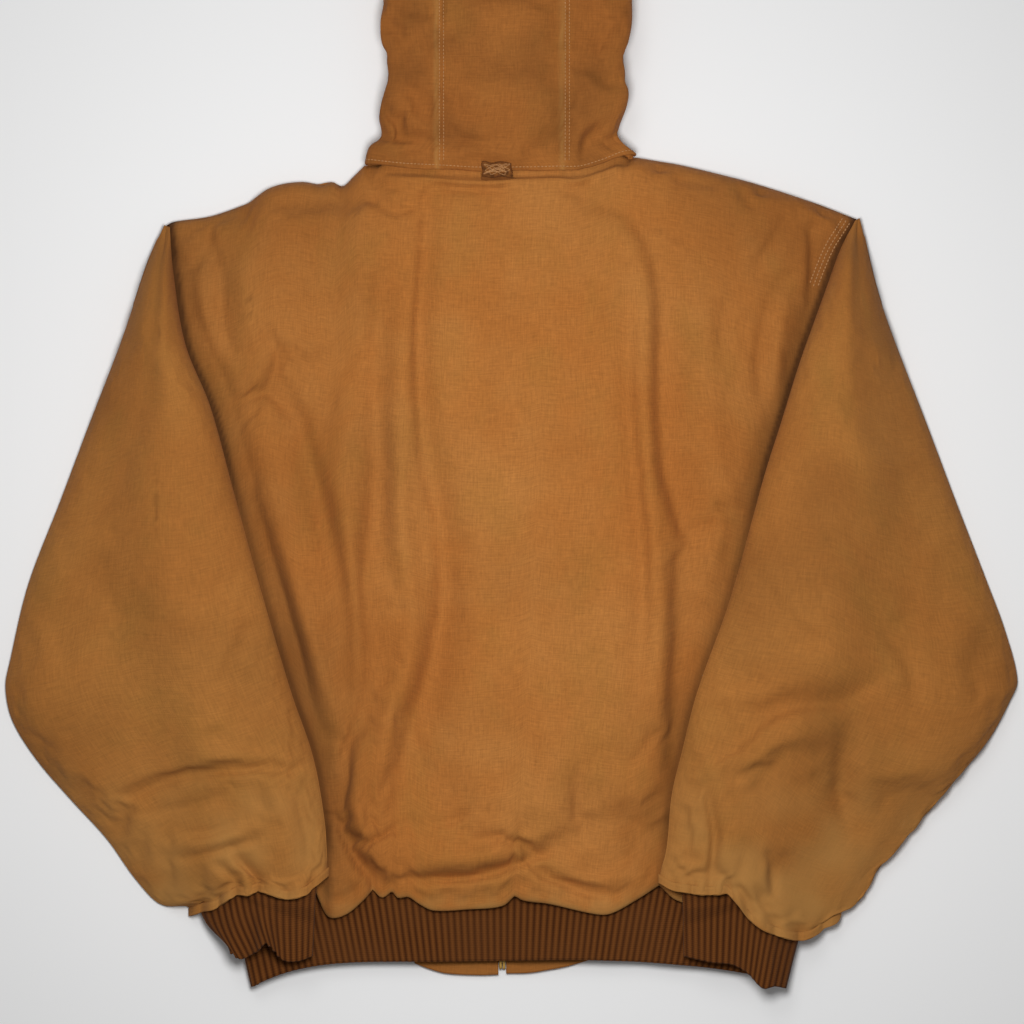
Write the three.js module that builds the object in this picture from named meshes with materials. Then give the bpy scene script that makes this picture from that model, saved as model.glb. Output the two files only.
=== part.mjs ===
import * as THREE from "three";

// A hooded work jacket of cotton duck with a quilted lining, rib-knit cuffs and waistband and
// a brass front zip. It lies face down, hood up, with its sleeves folded in over its back.
// Millimetres. It is drawn with X = 0 on its centre line, +X on the wearer's right, Y = 0 at
// the neck seam with +Y towards the hood, and Z = 0 on the surface it lies on.

// Cloth
const DUCK = 1.6; // shell fabric, doubled over its seams
const LINING = 2.5; // quilted lining with its filling
const RIB = 3.2; // rib knit
const GAP = 0.3; // clearance between pieces that touch
const LINER_GAP = 2.8; // room between a shell and its lining
const CLEARANCE = 2.6; // clearance between a sleeve and what it lies on
const OVERHANG = 9; // how far that clearance reaches past an edge before it slopes away

// Body
const NECK_WIDTH = 226; // hood seam, end to end
const NECK_DROP = 88; // front neckline below the neck seam, at the zip
const ARMHOLE_DEPTH = 224; // shoulder tip to underarm
const ARMHOLE_HOLLOW = 12; // how far the armhole curves in
const BODY_LENGTH = 648; // neck seam to the hem, at the centre
const HEM_BOW = 22; // how much higher the hem is at the side seams
const HEM_HALF = 250; // centre line to a side seam at the hem
const SHOULDER_BOW = 7; // fullness of the shoulder line
const CROWN = 28; // how far the back stands above its own edges
const SIDE_ROLL = 120; // width over which the back rises from a side seam
const SHOULDER_ROLL = 60; // the same from the shoulder seams
const HEM_ROLL = 60; // the same from the hem
const HEM_DROP = 0.45; // share of the crown that the hem loses
const NECK_BLEND = 55; // width over which the back drops from the neck to the shoulder seam

// How each half lies: distances out from the centre line and down from the neck seam
const SIDES = {
  left: { sign: -1, shoulder: 294, drop: 51, chest: 320, tuck: 142, endOut: -14, fall: 604 },
  right: { sign: 1, shoulder: 311, drop: 45, chest: 332, tuck: 175, endOut: -17, fall: 620 },
};

// Waistband
const BAND_HALF = 228; // half its width, lying flat
const BAND_HEIGHT = 47; // what shows below the hem, at the centre
const BAND_BOW = 20; // how much lower its corners hang
const BAND_THICK = 14; // both layers and what is between them
const TAB_WIDTH = 74; // duck tab at each side of the zip
const TAB_DROP = 11; // how far the tabs reach below the rib

// Sleeves, measured from the shoulder tip
const SLEEVE_RISE = 38; // how much higher the cuff seam ends on the inner side
const ELBOW_DROP = 402; // down to the elbow
const ELBOW_REACH = 144; // out to the elbow
const UPPER_BOW = 7; // fullness of the outer edge above the elbow
const LOWER_BOW = 20; // and below it
const SLEEVE_TOP = 14; // width where the sleeve leaves the shoulder
const SLEEVE_LOFT = 40; // how far the two layers stand apart
const SLEEVE_END_LOFT = 16; // the same at the cuff seam
const SLEEVE_LINED = { from: 0.13, to: 0.9, across: 0.86 }; // shares of its length and width
const CUFF_LENGTH = 57;
const CUFF_SEAM = 0.78; // share of the sleeve's end that the gathered cuff seam spans
const CUFFS = {
  left: { width: 63, lean: 22, tilt: 2 }, // across the free end, lean inwards, tilt down
  right: { width: 88, lean: 10, tilt: 26 },
};
const CUFF_THICK = 14;

// Hood
const HOOD_WIDTH = 218;
const HOOD_HEIGHT = 339; // neck seam to the top of the crown
const HOOD_THICK = 49;
const HOOD_PANEL = 110; // width of the centre panel
const HOOD_MOUTH = 56; // gap between the edges of the face opening
const HOOD_ROUND = 90; // length over which the crown rounds off
const NECK_GAP = 1; // room along the neck seam, where the hood turns
const HOOD_HEM = 22; // width of the drawcord channel
const HOOD_SQUARE = 0.6; // 1 is an elliptical section, 0 a rectangle
const EYELET_OUTER = 5;
const EYELET_INNER = 3;
const EYELET_THICK = 0.9;
const EYELET_UP = 16; // above the front neckline

// Front zip
const ZIP_SLOT = 6.8; // gap between the front edges
const ZIP_CHAIN = 2.6; // width of one half of the closed chain
const ZIP_CHAIN_THICK = 2.5;
const ZIP_TAPE = 12; // tape that shows behind each edge
const ZIP_TAPE_THICK = 0.6;
const ZIP_STOP = 3; // length of a top stop
const ZIP_END = 9; // length of the box and pin
const SLIDER_WIDTH = 12;
const SLIDER_LENGTH = 17;
const SLIDER_PLATE = 1.2;
const SLIDER_TAPER = 0.72; // width of its lower end over that of its upper end
const PULL_WIDTH = 8;
const PULL_LENGTH = 28;
const PULL_THICK = 0.9;
const PULL_Z = 0.05; // underside of the pull, just clear of the surface
const PULL_RIM = 1.6; // bar of the pull that the slider's lug holds
const PULL_EYE = 4;
const LUG_WIDTH = 2;
const LUG_LENGTH = 1.6;

// Pockets and trim
const POCKET = { width: 150, height: 185, out: 62, up: 41 }; // out from the zip, up from the hem
const POCKET_SLANT = { side: 0.35, top: 0.45 }; // shares of its height and width left uncut
const INNER_POCKET = { width: 120, height: 140, thick: 1, out: 70, down: 190 };
const LABEL = { width: 62, height: 38, thick: 0.6, down: 68, clear: 2 }; // clear of the lining
const LOOP = { width: 24, height: 10, rise: 8, thick: 1.8, off: -5, down: 1 };

// Heights of the layers above the surface
const FRONT_Z = 3; // underside of the front panels, which the pocket bags hold up
const FRONT_TOP = FRONT_Z + DUCK;
const FRONT_LINING_Z = FRONT_TOP + 1.4;
const SEAM_Z = FRONT_TOP + GAP; // underside of the back panel at its edges

const lerp = THREE.MathUtils.lerp;
const clamp = THREE.MathUtils.clamp;
const smooth = (t) => THREE.MathUtils.smoothstep(t, 0, 1);
const rise = (t) => Math.sin((Math.PI / 2) * clamp(t, 0, 1));
const point = (x, y, z) => new THREE.Vector3(x, y, z);
const sideOf = (x) => (x < 0 ? SIDES.left : SIDES.right);

// ---------------------------------------------------------------------------------------
// Materials

const cloth = (color) => new THREE.MeshStandardMaterial({ color, roughness: 0.9, metalness: 0 });
const duck = cloth(0xa66d38);
const hoodDuck = cloth(0x8f5a2c);
const sleeveDuck = cloth(0x966231);
const quilt = cloth(0x2c2724);
const rib = cloth(0x553016);
const tape = cloth(0x4a3220);
const label = cloth(0xd8d0c0);
const brass = new THREE.MeshStandardMaterial({ color: 0xb08d45, roughness: 0.35, metalness: 1 });

// ---------------------------------------------------------------------------------------
// Closed solids drawn from a box grid or a ring grid

// Turns the faces of a closed geometry outwards.
function faceOut(geometry) {
  const p = geometry.attributes.position;
  const index = geometry.index;
  const [a, b, c] = [point(), point(), point()];
  let volume = 0;
  for (let i = 0; i < index.count; i += 3) {
    a.fromBufferAttribute(p, index.getX(i));
    b.fromBufferAttribute(p, index.getX(i + 1));
    c.fromBufferAttribute(p, index.getX(i + 2));
    volume += a.dot(b.cross(c));
  }
  if (volume < 0) {
    for (let i = 0; i < index.count; i += 3) {
      const first = index.getX(i);
      index.setX(i, index.getX(i + 1));
      index.setX(i + 1, first);
    }
  }
  geometry.computeVertexNormals();
  return geometry;
}

// A sheet: place(u, v, upper) gives the point at u across and v along, on its upper or under face.
function sheet(across, along, place) {
  const geometry = new THREE.BoxGeometry(1, 1, 1, across, along, 1);
  const p = geometry.attributes.position;
  for (let i = 0; i < p.count; i++) {
    const at = place(p.getX(i) + 0.5, 0.5 - p.getY(i), p.getZ(i) > 0);
    p.setXYZ(i, at.x, at.y, at.z);
  }
  return faceOut(geometry);
}

// A tube open at both ends: place(k, v, outer) gives the point at step k round its ring and
// v along it, on its outer or inner face.
function tube(around, along, place) {
  const rings = 2 * (along + 1);
  const geometry = new THREE.TorusGeometry(2, 1, rings, around);
  const p = geometry.attributes.position;
  const uv = geometry.attributes.uv;
  for (let i = 0; i < p.count; i++) {
    const k = Math.round(uv.getX(i) * around) % around;
    const ring = Math.round(uv.getY(i) * rings) % rings;
    const outer = ring <= along;
    const v = (outer ? ring : rings - 1 - ring) / along;
    const at = place(k, v, outer);
    p.setXYZ(i, at.x, at.y, at.z);
  }
  return faceOut(geometry);
}

function block(x0, x1, y0, y1, z0, z1) {
  const geometry = new THREE.BoxGeometry(Math.abs(x1 - x0), Math.abs(y1 - y0), Math.abs(z1 - z0));
  return geometry.translate((x0 + x1) / 2, (y0 + y1) / 2, (z0 + z1) / 2);
}

// A flat shape in X and Y, raised from z0 by thick.
function plate(shape, z0, thick) {
  const options = { depth: thick, bevelEnabled: false, curveSegments: 8 };
  return new THREE.ExtrudeGeometry(shape, options).translate(0, 0, z0);
}

function part(name, geometry, material) {
  const mesh = new THREE.Mesh(geometry, material);
  mesh.name = name;
  return mesh;
}

// ---------------------------------------------------------------------------------------
// Outline of the body

const hemY = (x) => -BODY_LENGTH + HEM_BOW * (x / HEM_HALF) ** 2;

// X of a side's edge at height y: armhole above the underarm, side seam below it.
function edgeX(side, y) {
  const pitY = -side.drop - ARMHOLE_DEPTH;
  if (y >= pitY) {
    const t = clamp((-side.drop - y) / ARMHOLE_DEPTH, 0, 1);
    const hollow = ARMHOLE_HOLLOW * Math.sin(Math.PI * t);
    return side.sign * (lerp(side.shoulder, side.chest, t) - hollow);
  }
  const t = smooth((pitY - y) / (pitY - hemY(HEM_HALF)));
  return side.sign * lerp(side.chest, HEM_HALF, t);
}

// Y of the neck seam and shoulder lines at x.
function shoulderY(x) {
  const side = sideOf(x);
  const t = (Math.abs(x) - NECK_WIDTH / 2) / (side.shoulder - NECK_WIDTH / 2);
  if (t <= 0) return 0;
  return -side.drop * t + SHOULDER_BOW * Math.sin(Math.PI * clamp(t, 0, 1));
}

const necklineY = (x) => -NECK_DROP * (1 - Math.min(1, (2 * x) / NECK_WIDTH) ** 2);

const frontTopY = (x) => (Math.abs(x) < NECK_WIDTH / 2 ? necklineY(Math.abs(x)) : shoulderY(x));

// How far (x, y) lies inside the nearer side edge; negative outside.
const inside = (x, y) => Math.min(x - edgeX(SIDES.left, y), edgeX(SIDES.right, y) - x);

// Underside of the back panel over (x, y).
function backZ(x, y) {
  const neck = 1 - smooth((Math.abs(x) - NECK_WIDTH / 2 + NECK_BLEND) / NECK_BLEND);
  const fromTop = Math.max(neck, rise((shoulderY(x) - y) / SHOULDER_ROLL));
  const fromHem = 1 - HEM_DROP * (1 - rise((y - hemY(x)) / HEM_ROLL));
  return SEAM_Z + CROWN * rise(inside(x, y) / SIDE_ROLL) * fromTop * fromHem;
}

// Underside of the back lining.
const underBackZ = (x, y) => backZ(x, y) - LINER_GAP - LINING;

// A sheet of the body between the side edges, drawn in by inset at the sides, top and hem.
function bodySheet(across, along, inset, z, thick) {
  return sheet(across, along, (u, v, upper) => {
    const f = 0.5 - 0.5 * Math.cos(Math.PI * u);
    const topX = lerp(-SIDES.left.shoulder, SIDES.right.shoulder, f);
    const endX = lerp(inset.side - HEM_HALF, HEM_HALF - inset.side, f);
    const y = lerp(shoulderY(topX) - inset.top, hemY(endX) + inset.hem, v);
    const x = lerp(edgeX(SIDES.left, y) + inset.side, edgeX(SIDES.right, y) - inset.side, f);
    return point(x, y, z(x, y) + (upper ? thick : 0));
  });
}

// A flat sheet of one front, from its side edge to its edge at the zip.
function frontSheet(side, across, along, inset, z, thick) {
  const neckShare = 0.45;
  return sheet(across, along, (u, v, upper) => {
    const half = NECK_WIDTH / 2;
    const topX =
      u < neckShare
        ? lerp(side.shoulder, half, u / neckShare)
        : lerp(half, inset.zip, (u - neckShare) / (1 - neckShare));
    const f = (side.shoulder - topX) / (side.shoulder - inset.zip);
    const endX = lerp(HEM_HALF - inset.side, inset.zip, f);
    const y = lerp(frontTopY(side.sign * topX) - inset.top, hemY(endX) + inset.hem, v);
    const edge = Math.abs(edgeX(side, y)) - inset.side;
    return point(side.sign * lerp(edge, inset.zip, f), y, z + (upper ? thick : 0));
  });
}

// ---------------------------------------------------------------------------------------
// Waistband and what a sleeve lies on

const bandBottomY = (x) => -BODY_LENGTH - BAND_HEIGHT - BAND_BOW * (x / BAND_HALF) ** 2;

// Height of what lies under a sleeve at (x, y), sloping away to the surface outside the body.
function coverZ(x, y) {
  const slope = 0.4;
  const past = (distance) => Math.min(0, distance + OVERHANG);
  const onBody = backZ(x, Math.max(y, hemY(x))) + DUCK;
  const offBody = past(inside(x, y)) + past(shoulderY(x) - y) + past(y - hemY(x));
  const onBand = FRONT_Z + BAND_THICK;
  const offBand = past(BAND_HALF - Math.abs(x)) + past(hemY(x) - y);
  return Math.max(0, Math.max(onBody + slope * offBody, onBand + slope * offBand) + CLEARANCE);
}

// The rib band: a flat C of two layers, open at the front between the tabs.
function waistband() {
  const outer = { half: BAND_HALF, low: FRONT_Z, high: FRONT_Z + BAND_THICK };
  const inner = { half: BAND_HALF - RIB, low: FRONT_Z + RIB, high: FRONT_Z + BAND_THICK - RIB };
  const front = ZIP_SLOT / 2 + TAB_WIDTH + GAP;
  // One face of the C from the left front edge, round the back, to the right front edge.
  const path = (face) => {
    const round = (face.high - face.low) / 2;
    const points = [];
    for (const share of [0, 0.33, 0.67]) {
      points.push([-lerp(front, face.half - round, share), face.low]);
    }
    for (let i = 0; i <= 6; i++) {
      const a = (Math.PI * i) / 6;
      points.push([-face.half + round - round * Math.sin(a), face.low + round * (1 - Math.cos(a))]);
    }
    for (const share of [0.75, 0.5, 0.25]) points.push([-share * face.half, face.high]);
    const mirrored = points.map(([x, z]) => [-x, z]).reverse();
    return [...points, [0, face.high], ...mirrored];
  };
  const [outside, within] = [path(outer), path(inner)];
  const steps = outside.length - 1;
  return sheet(steps, 2, (u, v, upper) => {
    const [x, z] = (upper ? outside : within)[Math.round(u * steps)];
    return point(x, lerp(hemY(x) - GAP, bandBottomY(x), v), z);
  });
}

// The loop that the jacket hangs by: a strap arched over the back, just below the neck seam.
function hangLoop() {
  const steps = 10;
  const foot = backZ(LOOP.off, -LOOP.height) + DUCK + GAP;
  return sheet(steps, 1, (u, v, upper) => {
    const a = Math.PI * (1 - u);
    const grow = upper ? 0 : LOOP.thick;
    const x = LOOP.off + (LOOP.width / 2 - grow) * Math.cos(a);
    const z = foot + (LOOP.rise - grow) * Math.sin(a);
    return point(x, -LOOP.down - LOOP.height * v, z);
  });
}

// ---------------------------------------------------------------------------------------
// Sleeves

// Edge of a sleeve at v along it, as distances out from and down from the shoulder tip.
function sleeveEdges(side, v) {
  const elbow = ELBOW_DROP / side.fall;
  const upper = clamp(v / elbow, 0, 1);
  const lower = clamp((v - elbow) / (1 - elbow), 0, 1);
  const bow = UPPER_BOW * Math.sin(Math.PI * upper) + LOWER_BOW * Math.sin(Math.PI * lower);
  const outer = lerp(ELBOW_REACH * upper, side.endOut, lower) + bow;
  const tuck = SLEEVE_TOP + (side.tuck - SLEEVE_TOP) * Math.min(1, 1.06 * v);
  return { outer: [outer, side.fall * v], inner: [-tuck, (side.fall - SLEEVE_RISE) * v] };
}

// Point of a side's sleeve from distances out and down, with no height.
function fromTip(side, [out, down]) {
  return point(side.sign * (side.shoulder + out), -side.drop - down, 0);
}

// Point at s across (-1 at the outer edge, 1 at the inner) and v along a sleeve.
function sleeveAt(side, s, v) {
  const { outer, inner } = sleeveEdges(side, v);
  return fromTip(side, outer).lerp(fromTip(side, inner), (1 + s) / 2);
}

// How far the sleeve's layers stand apart at s across and v along.
function loftAt(s, v) {
  const high = lerp(SLEEVE_LOFT, SLEEVE_END_LOFT, smooth((v - 0.6) / 0.4));
  const round = (1 - Math.abs(s) ** 2.4) ** 0.7;
  return high * rise(0.12 + v / 0.22) * round;
}

// Share of a sleeve's length at t through its rows, two thirds of which lie above the elbow.
function sleeveRow(side, t, from, to) {
  const elbow = ELBOW_DROP / side.fall;
  return t < 2 / 3 ? lerp(from, elbow, 1.5 * t) : lerp(elbow, to, 3 * t - 2);
}

function sleeveLayer(side, onTop) {
  return sheet(10, 15, (u, t, upper) => {
    const s = -Math.cos(Math.PI * u);
    const v = sleeveRow(side, t, 0, 1);
    const at = sleeveAt(side, s, v);
    at.z = coverZ(at.x, at.y) + (onTop ? DUCK + GAP + loftAt(s, v) : 0) + (upper ? DUCK : 0);
    return at;
  });
}

function sleeveLining(side) {
  const half = 9; // steps across each layer
  return tube(2 * half, 9, (k, v, outer) => {
    const along = sleeveRow(side, v, SLEEVE_LINED.from, SLEEVE_LINED.to);
    const { outer: o, inner: i } = sleeveEdges(side, along);
    const reach = SLEEVE_LINED.across - (outer ? 0 : (2 * LINING) / (o[0] - i[0]));
    const onTop = k < half;
    const step = (onTop ? k : 2 * half - 1 - k) / (half - 1);
    const s = -reach * Math.cos(Math.PI * step);
    const at = sleeveAt(side, s, along);
    const inset = LINER_GAP + (outer ? 0 : LINING);
    const high = GAP + loftAt(s, along) - inset;
    at.z = coverZ(at.x, at.y) + DUCK + (onTop ? high : inset);
    return at;
  });
}

function cuff(side, { width, lean, tilt }) {
  const around = 20;
  const from = sleeveEdges(side, 1);
  const middle = [(from.outer[0] + from.inner[0]) / 2, (from.outer[1] + from.inner[1]) / 2];
  const end = [middle[0] - lean, middle[1] + CUFF_LENGTH];
  return tube(around, 3, (k, v, outer) => {
    const a = (2 * Math.PI * k) / around;
    const wall = outer ? 0 : RIB;
    const across = Math.cos(a);
    const start = sleeveAt(side, CUFF_SEAM * across, 1);
    const free = fromTip(side, [end[0] - (across * width) / 2, end[1] - (across * tilt) / 2]);
    const at = start.lerp(free, v);
    at.x += side.sign * wall * across;
    at.y -= GAP;
    const half = CUFF_THICK / 2;
    const up = Math.sign(Math.sin(a)) * Math.abs(Math.sin(a)) ** 0.7;
    at.z = coverZ(at.x, at.y) + half + (half - wall) * up;
    return at;
  });
}

// ---------------------------------------------------------------------------------------
// Hood: a flattened tube, its face opening on the underside

const HOOD_FLOOR = FRONT_Z;
const hoodCrown = (y) => clamp((y - HOOD_HEIGHT + HOOD_ROUND) / HOOD_ROUND, 0, 1);
const hoodHalf = (y) => (HOOD_WIDTH / 2) * Math.sqrt(1 - 0.6 * hoodCrown(y) ** 2);

// Height of the hood's section over its floor at y: level with the back at the neck.
function hoodThick(y) {
  const neck = backZ(0, 0) + DUCK - HOOD_FLOOR;
  const full = lerp(neck, HOOD_THICK - HOOD_FLOOR, rise(y / 60));
  return full * (1 - 0.68 * hoodCrown(y) ** 2);
}

// Point of the hood's section at angle a (0 at the top, either way round to the floor),
// drawn in by inset, at height y.
function hoodAt(a, y, inset) {
  const half = hoodHalf(y) - inset;
  const high = hoodThick(y) / 2;
  const sin = Math.sin(Math.abs(a)) ** HOOD_SQUARE;
  const cos = Math.sign(Math.cos(a)) * Math.abs(Math.cos(a)) ** HOOD_SQUARE;
  return point(Math.sign(a) * half * sin, y, HOOD_FLOOR + high + (high - inset) * cos);
}

// Angle at which the section stands at distance x from the centre, on its top or its floor.
const topAngle = (x, y) => Math.asin((x / hoodHalf(y)) ** (1 / HOOD_SQUARE));
const floorAngle = (x, y) => Math.PI - topAngle(x, y);

// Where the hood starts: at the neck seam on top, at the front neckline on its floor.
function hoodBaseY(a, inset) {
  const x = Math.abs(hoodAt(a, 0, inset).x);
  const onFloor = Math.abs(a) > Math.PI / 2 ? smooth((0.86 * NECK_WIDTH - 2 * x) / 50) : 0;
  return NECK_GAP + inset + onFloor * (necklineY(x) + inset);
}

// A sheet of the hood from angle a0 to a1, which may depend on y. Half of its rows lie below
// the crown and half on it.
function hoodSheet(across, along, a0, a1, inset, thick) {
  return sheet(across, along, (u, v, upper) => {
    const guess = lerp(a0(0), a1(0), u);
    const crown = HOOD_HEIGHT - HOOD_ROUND;
    const below = lerp(hoodBaseY(guess, inset), crown, 2 * v);
    const y = v < 0.5 ? below : lerp(crown, HOOD_HEIGHT - 2 * inset, 2 * v - 1);
    const level = Math.max(0, y);
    const at = hoodAt(lerp(a0(level), a1(level), u), level, inset + (upper ? 0 : thick));
    at.y = y;
    return at;
  });
}

function hoodSide(sign) {
  const seam = (y) => sign * topAngle(HOOD_PANEL / 2 + GAP, y);
  const edge = (y) => sign * floorAngle(HOOD_MOUTH / 2, y);
  return hoodSheet(12, 10, seam, edge, 0, DUCK);
}

function hoodHem(sign) {
  const inner = HOOD_MOUTH / 2;
  return sheet(1, 8, (u, v, upper) => {
    const x = inner + HOOD_HEM * u;
    const y = lerp(necklineY(x) + NECK_GAP, HOOD_HEIGHT - HOOD_ROUND, v);
    return point(sign * x, y, upper ? FRONT_Z - GAP : EYELET_THICK + GAP);
  });
}

function eyelet(sign) {
  const edge = 0.15; // chamfer of its bore
  const fall = 0.3; // how much lower its rim is than its bore
  const profile = [
    [EYELET_INNER, edge],
    [EYELET_INNER + edge, 0],
    [EYELET_OUTER - fall, fall],
    [EYELET_OUTER, EYELET_THICK],
    [EYELET_INNER, EYELET_THICK],
    [EYELET_INNER, edge],
  ].map(([r, z]) => new THREE.Vector2(r, z));
  const x = (HOOD_MOUTH + HOOD_HEM) / 2;
  const ring = new THREE.LatheGeometry(profile, 20).rotateX(Math.PI / 2);
  return faceOut(ring.translate(sign * x, necklineY(x) + EYELET_UP, 0));
}

// ---------------------------------------------------------------------------------------
// Front zip

const ZIP_TOP = -NECK_DROP - GAP;
const ZIP_BOTTOM = -BODY_LENGTH - BAND_HEIGHT - 1;
const SLIDER_Y = ZIP_TOP - 4; // top of the slider, zip closed

// A piece of the closed chain's section, on one side of the centre line.
function zipBlock(sign, y0, y1) {
  const inner = GAP / 2;
  const [x0, x1] = [sign * inner, sign * (inner + ZIP_CHAIN)];
  return block(x0, x1, y0, y1, FRONT_Z, FRONT_Z + ZIP_CHAIN_THICK);
}

const chain = (sign) =>
  zipBlock(sign, ZIP_BOTTOM + ZIP_END + GAP, ZIP_TOP - ZIP_STOP - GAP);

function zipTape(sign) {
  const inner = sign * (ZIP_CHAIN + 2 * GAP);
  const z = FRONT_TOP + GAP;
  return block(inner, inner + sign * ZIP_TAPE, ZIP_BOTTOM, ZIP_TOP, z, z + ZIP_TAPE_THICK);
}

const SLIDER_TOP_Z = FRONT_Z - GAP; // face of the slider's front plate against the chain
const SLIDER_LOW_Z = SLIDER_TOP_Z - SLIDER_PLATE;
const AXIS_Y = SLIDER_Y - 4; // pin of the pull

// Outline of a slider plate, broad at the top and narrower below, seen from the front.
function sliderShape() {
  const half = SLIDER_WIDTH / 2;
  const shape = new THREE.Shape();
  shape.moveTo(-half, SLIDER_Y - 3);
  shape.quadraticCurveTo(-half, SLIDER_Y, 0, SLIDER_Y);
  shape.quadraticCurveTo(half, SLIDER_Y, half, SLIDER_Y - 3);
  shape.lineTo(SLIDER_TAPER * half, SLIDER_Y - SLIDER_LENGTH);
  shape.lineTo(-SLIDER_TAPER * half, SLIDER_Y - SLIDER_LENGTH);
  return shape;
}

// Front plate, with the lug that passes through the pull's eye.
function sliderFront() {
  const half = SLIDER_WIDTH / 2;
  const lugTop = AXIS_Y - PULL_RIM / 2 - 0.4;
  const lugEnd = lugTop - LUG_LENGTH;
  const draft = 0.05; // slope of the lug's sides
  const lug = LUG_WIDTH / 2;
  const columns = [-half, -lug - draft, -lug, lug, lug + draft, half];
  const end = SLIDER_Y - SLIDER_LENGTH;
  const rows = [SLIDER_Y, lugTop + draft, lugTop, lugEnd, lugEnd - draft, end];
  return sheet(5, 5, (u, v, upper) => {
    const [column, row] = [Math.round(u * 5), Math.round(v * 5)];
    const taper = row === 5 ? SLIDER_TAPER : 1;
    const onLug = row > 1 && row < 4 && column > 1 && column < 4;
    const z = upper ? SLIDER_TOP_Z : onLug ? PULL_Z : SLIDER_LOW_Z;
    return point(columns[column] * taper, rows[row], z);
  });
}

const sliderBack = () =>
  plate(sliderShape(), FRONT_TOP + 2 * GAP + ZIP_TAPE_THICK, SLIDER_PLATE);

function pull() {
  const half = PULL_WIDTH / 2;
  const top = AXIS_Y + PULL_RIM / 2;
  const shape = new THREE.Shape();
  shape.moveTo(-half, top);
  shape.lineTo(half, top);
  shape.lineTo(half, top - PULL_LENGTH + half);
  shape.absarc(0, top - PULL_LENGTH + half, half, 0, Math.PI, true);
  const eye = new THREE.Path();
  const eyeHalf = LUG_WIDTH / 2 + 0.9;
  eye.moveTo(-eyeHalf, top - PULL_RIM);
  eye.lineTo(-eyeHalf, top - PULL_RIM - PULL_EYE);
  eye.lineTo(eyeHalf, top - PULL_RIM - PULL_EYE);
  eye.lineTo(eyeHalf, top - PULL_RIM);
  shape.holes.push(eye);
  return plate(shape, PULL_Z, PULL_THICK);
}

// ---------------------------------------------------------------------------------------
// Pockets and label

// A hand pocket with a slanted opening, sewn flat on the outside of a front panel.
function handPocket(side) {
  const { width, height, out, up } = POCKET;
  const y0 = -BODY_LENGTH + up;
  const x0 = side.sign * out;
  const x1 = side.sign * (out + width);
  const shape = new THREE.Shape();
  shape.moveTo(x0, y0);
  shape.lineTo(x1, y0);
  shape.lineTo(x1, y0 + height * POCKET_SLANT.side);
  shape.lineTo(side.sign * (out + width * POCKET_SLANT.top), y0 + height);
  shape.lineTo(x0, y0 + height);
  return plate(shape, 0, FRONT_Z - GAP);
}

function innerPocket(side) {
  const { width, height, thick, out, down } = INNER_POCKET;
  const z = FRONT_LINING_Z + LINING + GAP;
  return block(side.sign * out, side.sign * (out + width), -down - height, -down, z, z + thick);
}

function neckLabel() {
  const { width, height, thick, down, clear } = LABEL;
  const corners = [-down, -down - height].flatMap((y) => [-width, width].map((x) => [x / 2, y]));
  const lining = Math.min(...corners.map(([x, y]) => underBackZ(x, y)));
  const top = lining - clear;
  return block(-width / 2, width / 2, -down - height, -down, top - thick, top);
}

// ---------------------------------------------------------------------------------------
// Assembly

const NONE = { side: 0, top: 0, hem: 0, zip: ZIP_SLOT / 2 };
const LINED = { side: 45, top: SHOULDER_ROLL + 2, hem: 12, zip: ZIP_SLOT / 2 + 6 };

const torso = new THREE.Group();
torso.add(
  part("back_panel", bodySheet(18, 15, NONE, backZ, DUCK), duck),
  part("back_lining", bodySheet(12, 10, LINED, underBackZ, LINING), quilt),
  part("waistband", waistband(), rib),
  part("hang_loop", hangLoop(), duck),
  part("neck_label", neckLabel(), label),
  part("inner_pocket", innerPocket(SIDES.left), quilt),
  part("zipper_box", zipBlock(-1, ZIP_BOTTOM, ZIP_BOTTOM + ZIP_END), brass),
  part("zipper_pin", zipBlock(1, ZIP_BOTTOM, ZIP_BOTTOM + ZIP_END), brass),
);

function hemTab(side) {
  return sheet(4, 2, (u, v, upper) => {
    const x = lerp(ZIP_SLOT / 2, ZIP_SLOT / 2 + TAB_WIDTH, u);
    const y = lerp(hemY(x) - GAP, bandBottomY(x) - TAB_DROP, v);
    return point(side.sign * x, y, upper ? FRONT_TOP : FRONT_Z);
  });
}

for (const [name, side] of Object.entries(SIDES)) {
  const { sign } = side;
  torso.add(
    part(`front_panel_${name}`, frontSheet(side, 10, 8, NONE, FRONT_Z, DUCK), duck),
    part(`front_lining_${name}`, frontSheet(side, 8, 6, LINED, FRONT_LINING_Z, LINING), quilt),
    part(`hand_pocket_${name}`, handPocket(side), duck),
    part(`hem_tab_${name}`, hemTab(side), duck),
    part(`zipper_tape_${name}`, zipTape(sign), tape),
    part(`zipper_chain_${name}`, chain(sign), brass),
    part(`top_stop_${name}`, zipBlock(sign, ZIP_TOP - ZIP_STOP, ZIP_TOP), brass),
  );
}

const slider = new THREE.Group();
slider.add(
  part("slider_front", sliderFront(), brass),
  part("slider_back", sliderBack(), brass),
  part("zipper_pull", pull(), brass),
);

const hood = new THREE.Group();
const panelAngle = (y) => topAngle(HOOD_PANEL / 2 - GAP, y);
const linedAngle = (y) => floorAngle(HOOD_MOUTH / 2 + 3, y);
const LINER_INSET = DUCK + LINER_GAP;
hood.add(
  part("hood_centre_panel", hoodSheet(6, 10, (y) => -panelAngle(y), panelAngle, 0, DUCK), hoodDuck),
  part("hood_lining", hoodSheet(22, 8, (y) => -linedAngle(y), linedAngle, LINER_INSET, LINING), quilt),
);
for (const [name, { sign }] of Object.entries(SIDES)) {
  hood.add(
    part(`hood_side_${name}`, hoodSide(sign), hoodDuck),
    part(`hood_hem_${name}`, hoodHem(sign), hoodDuck),
    part(`eyelet_${name}`, eyelet(sign), brass),
  );
}

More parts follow.
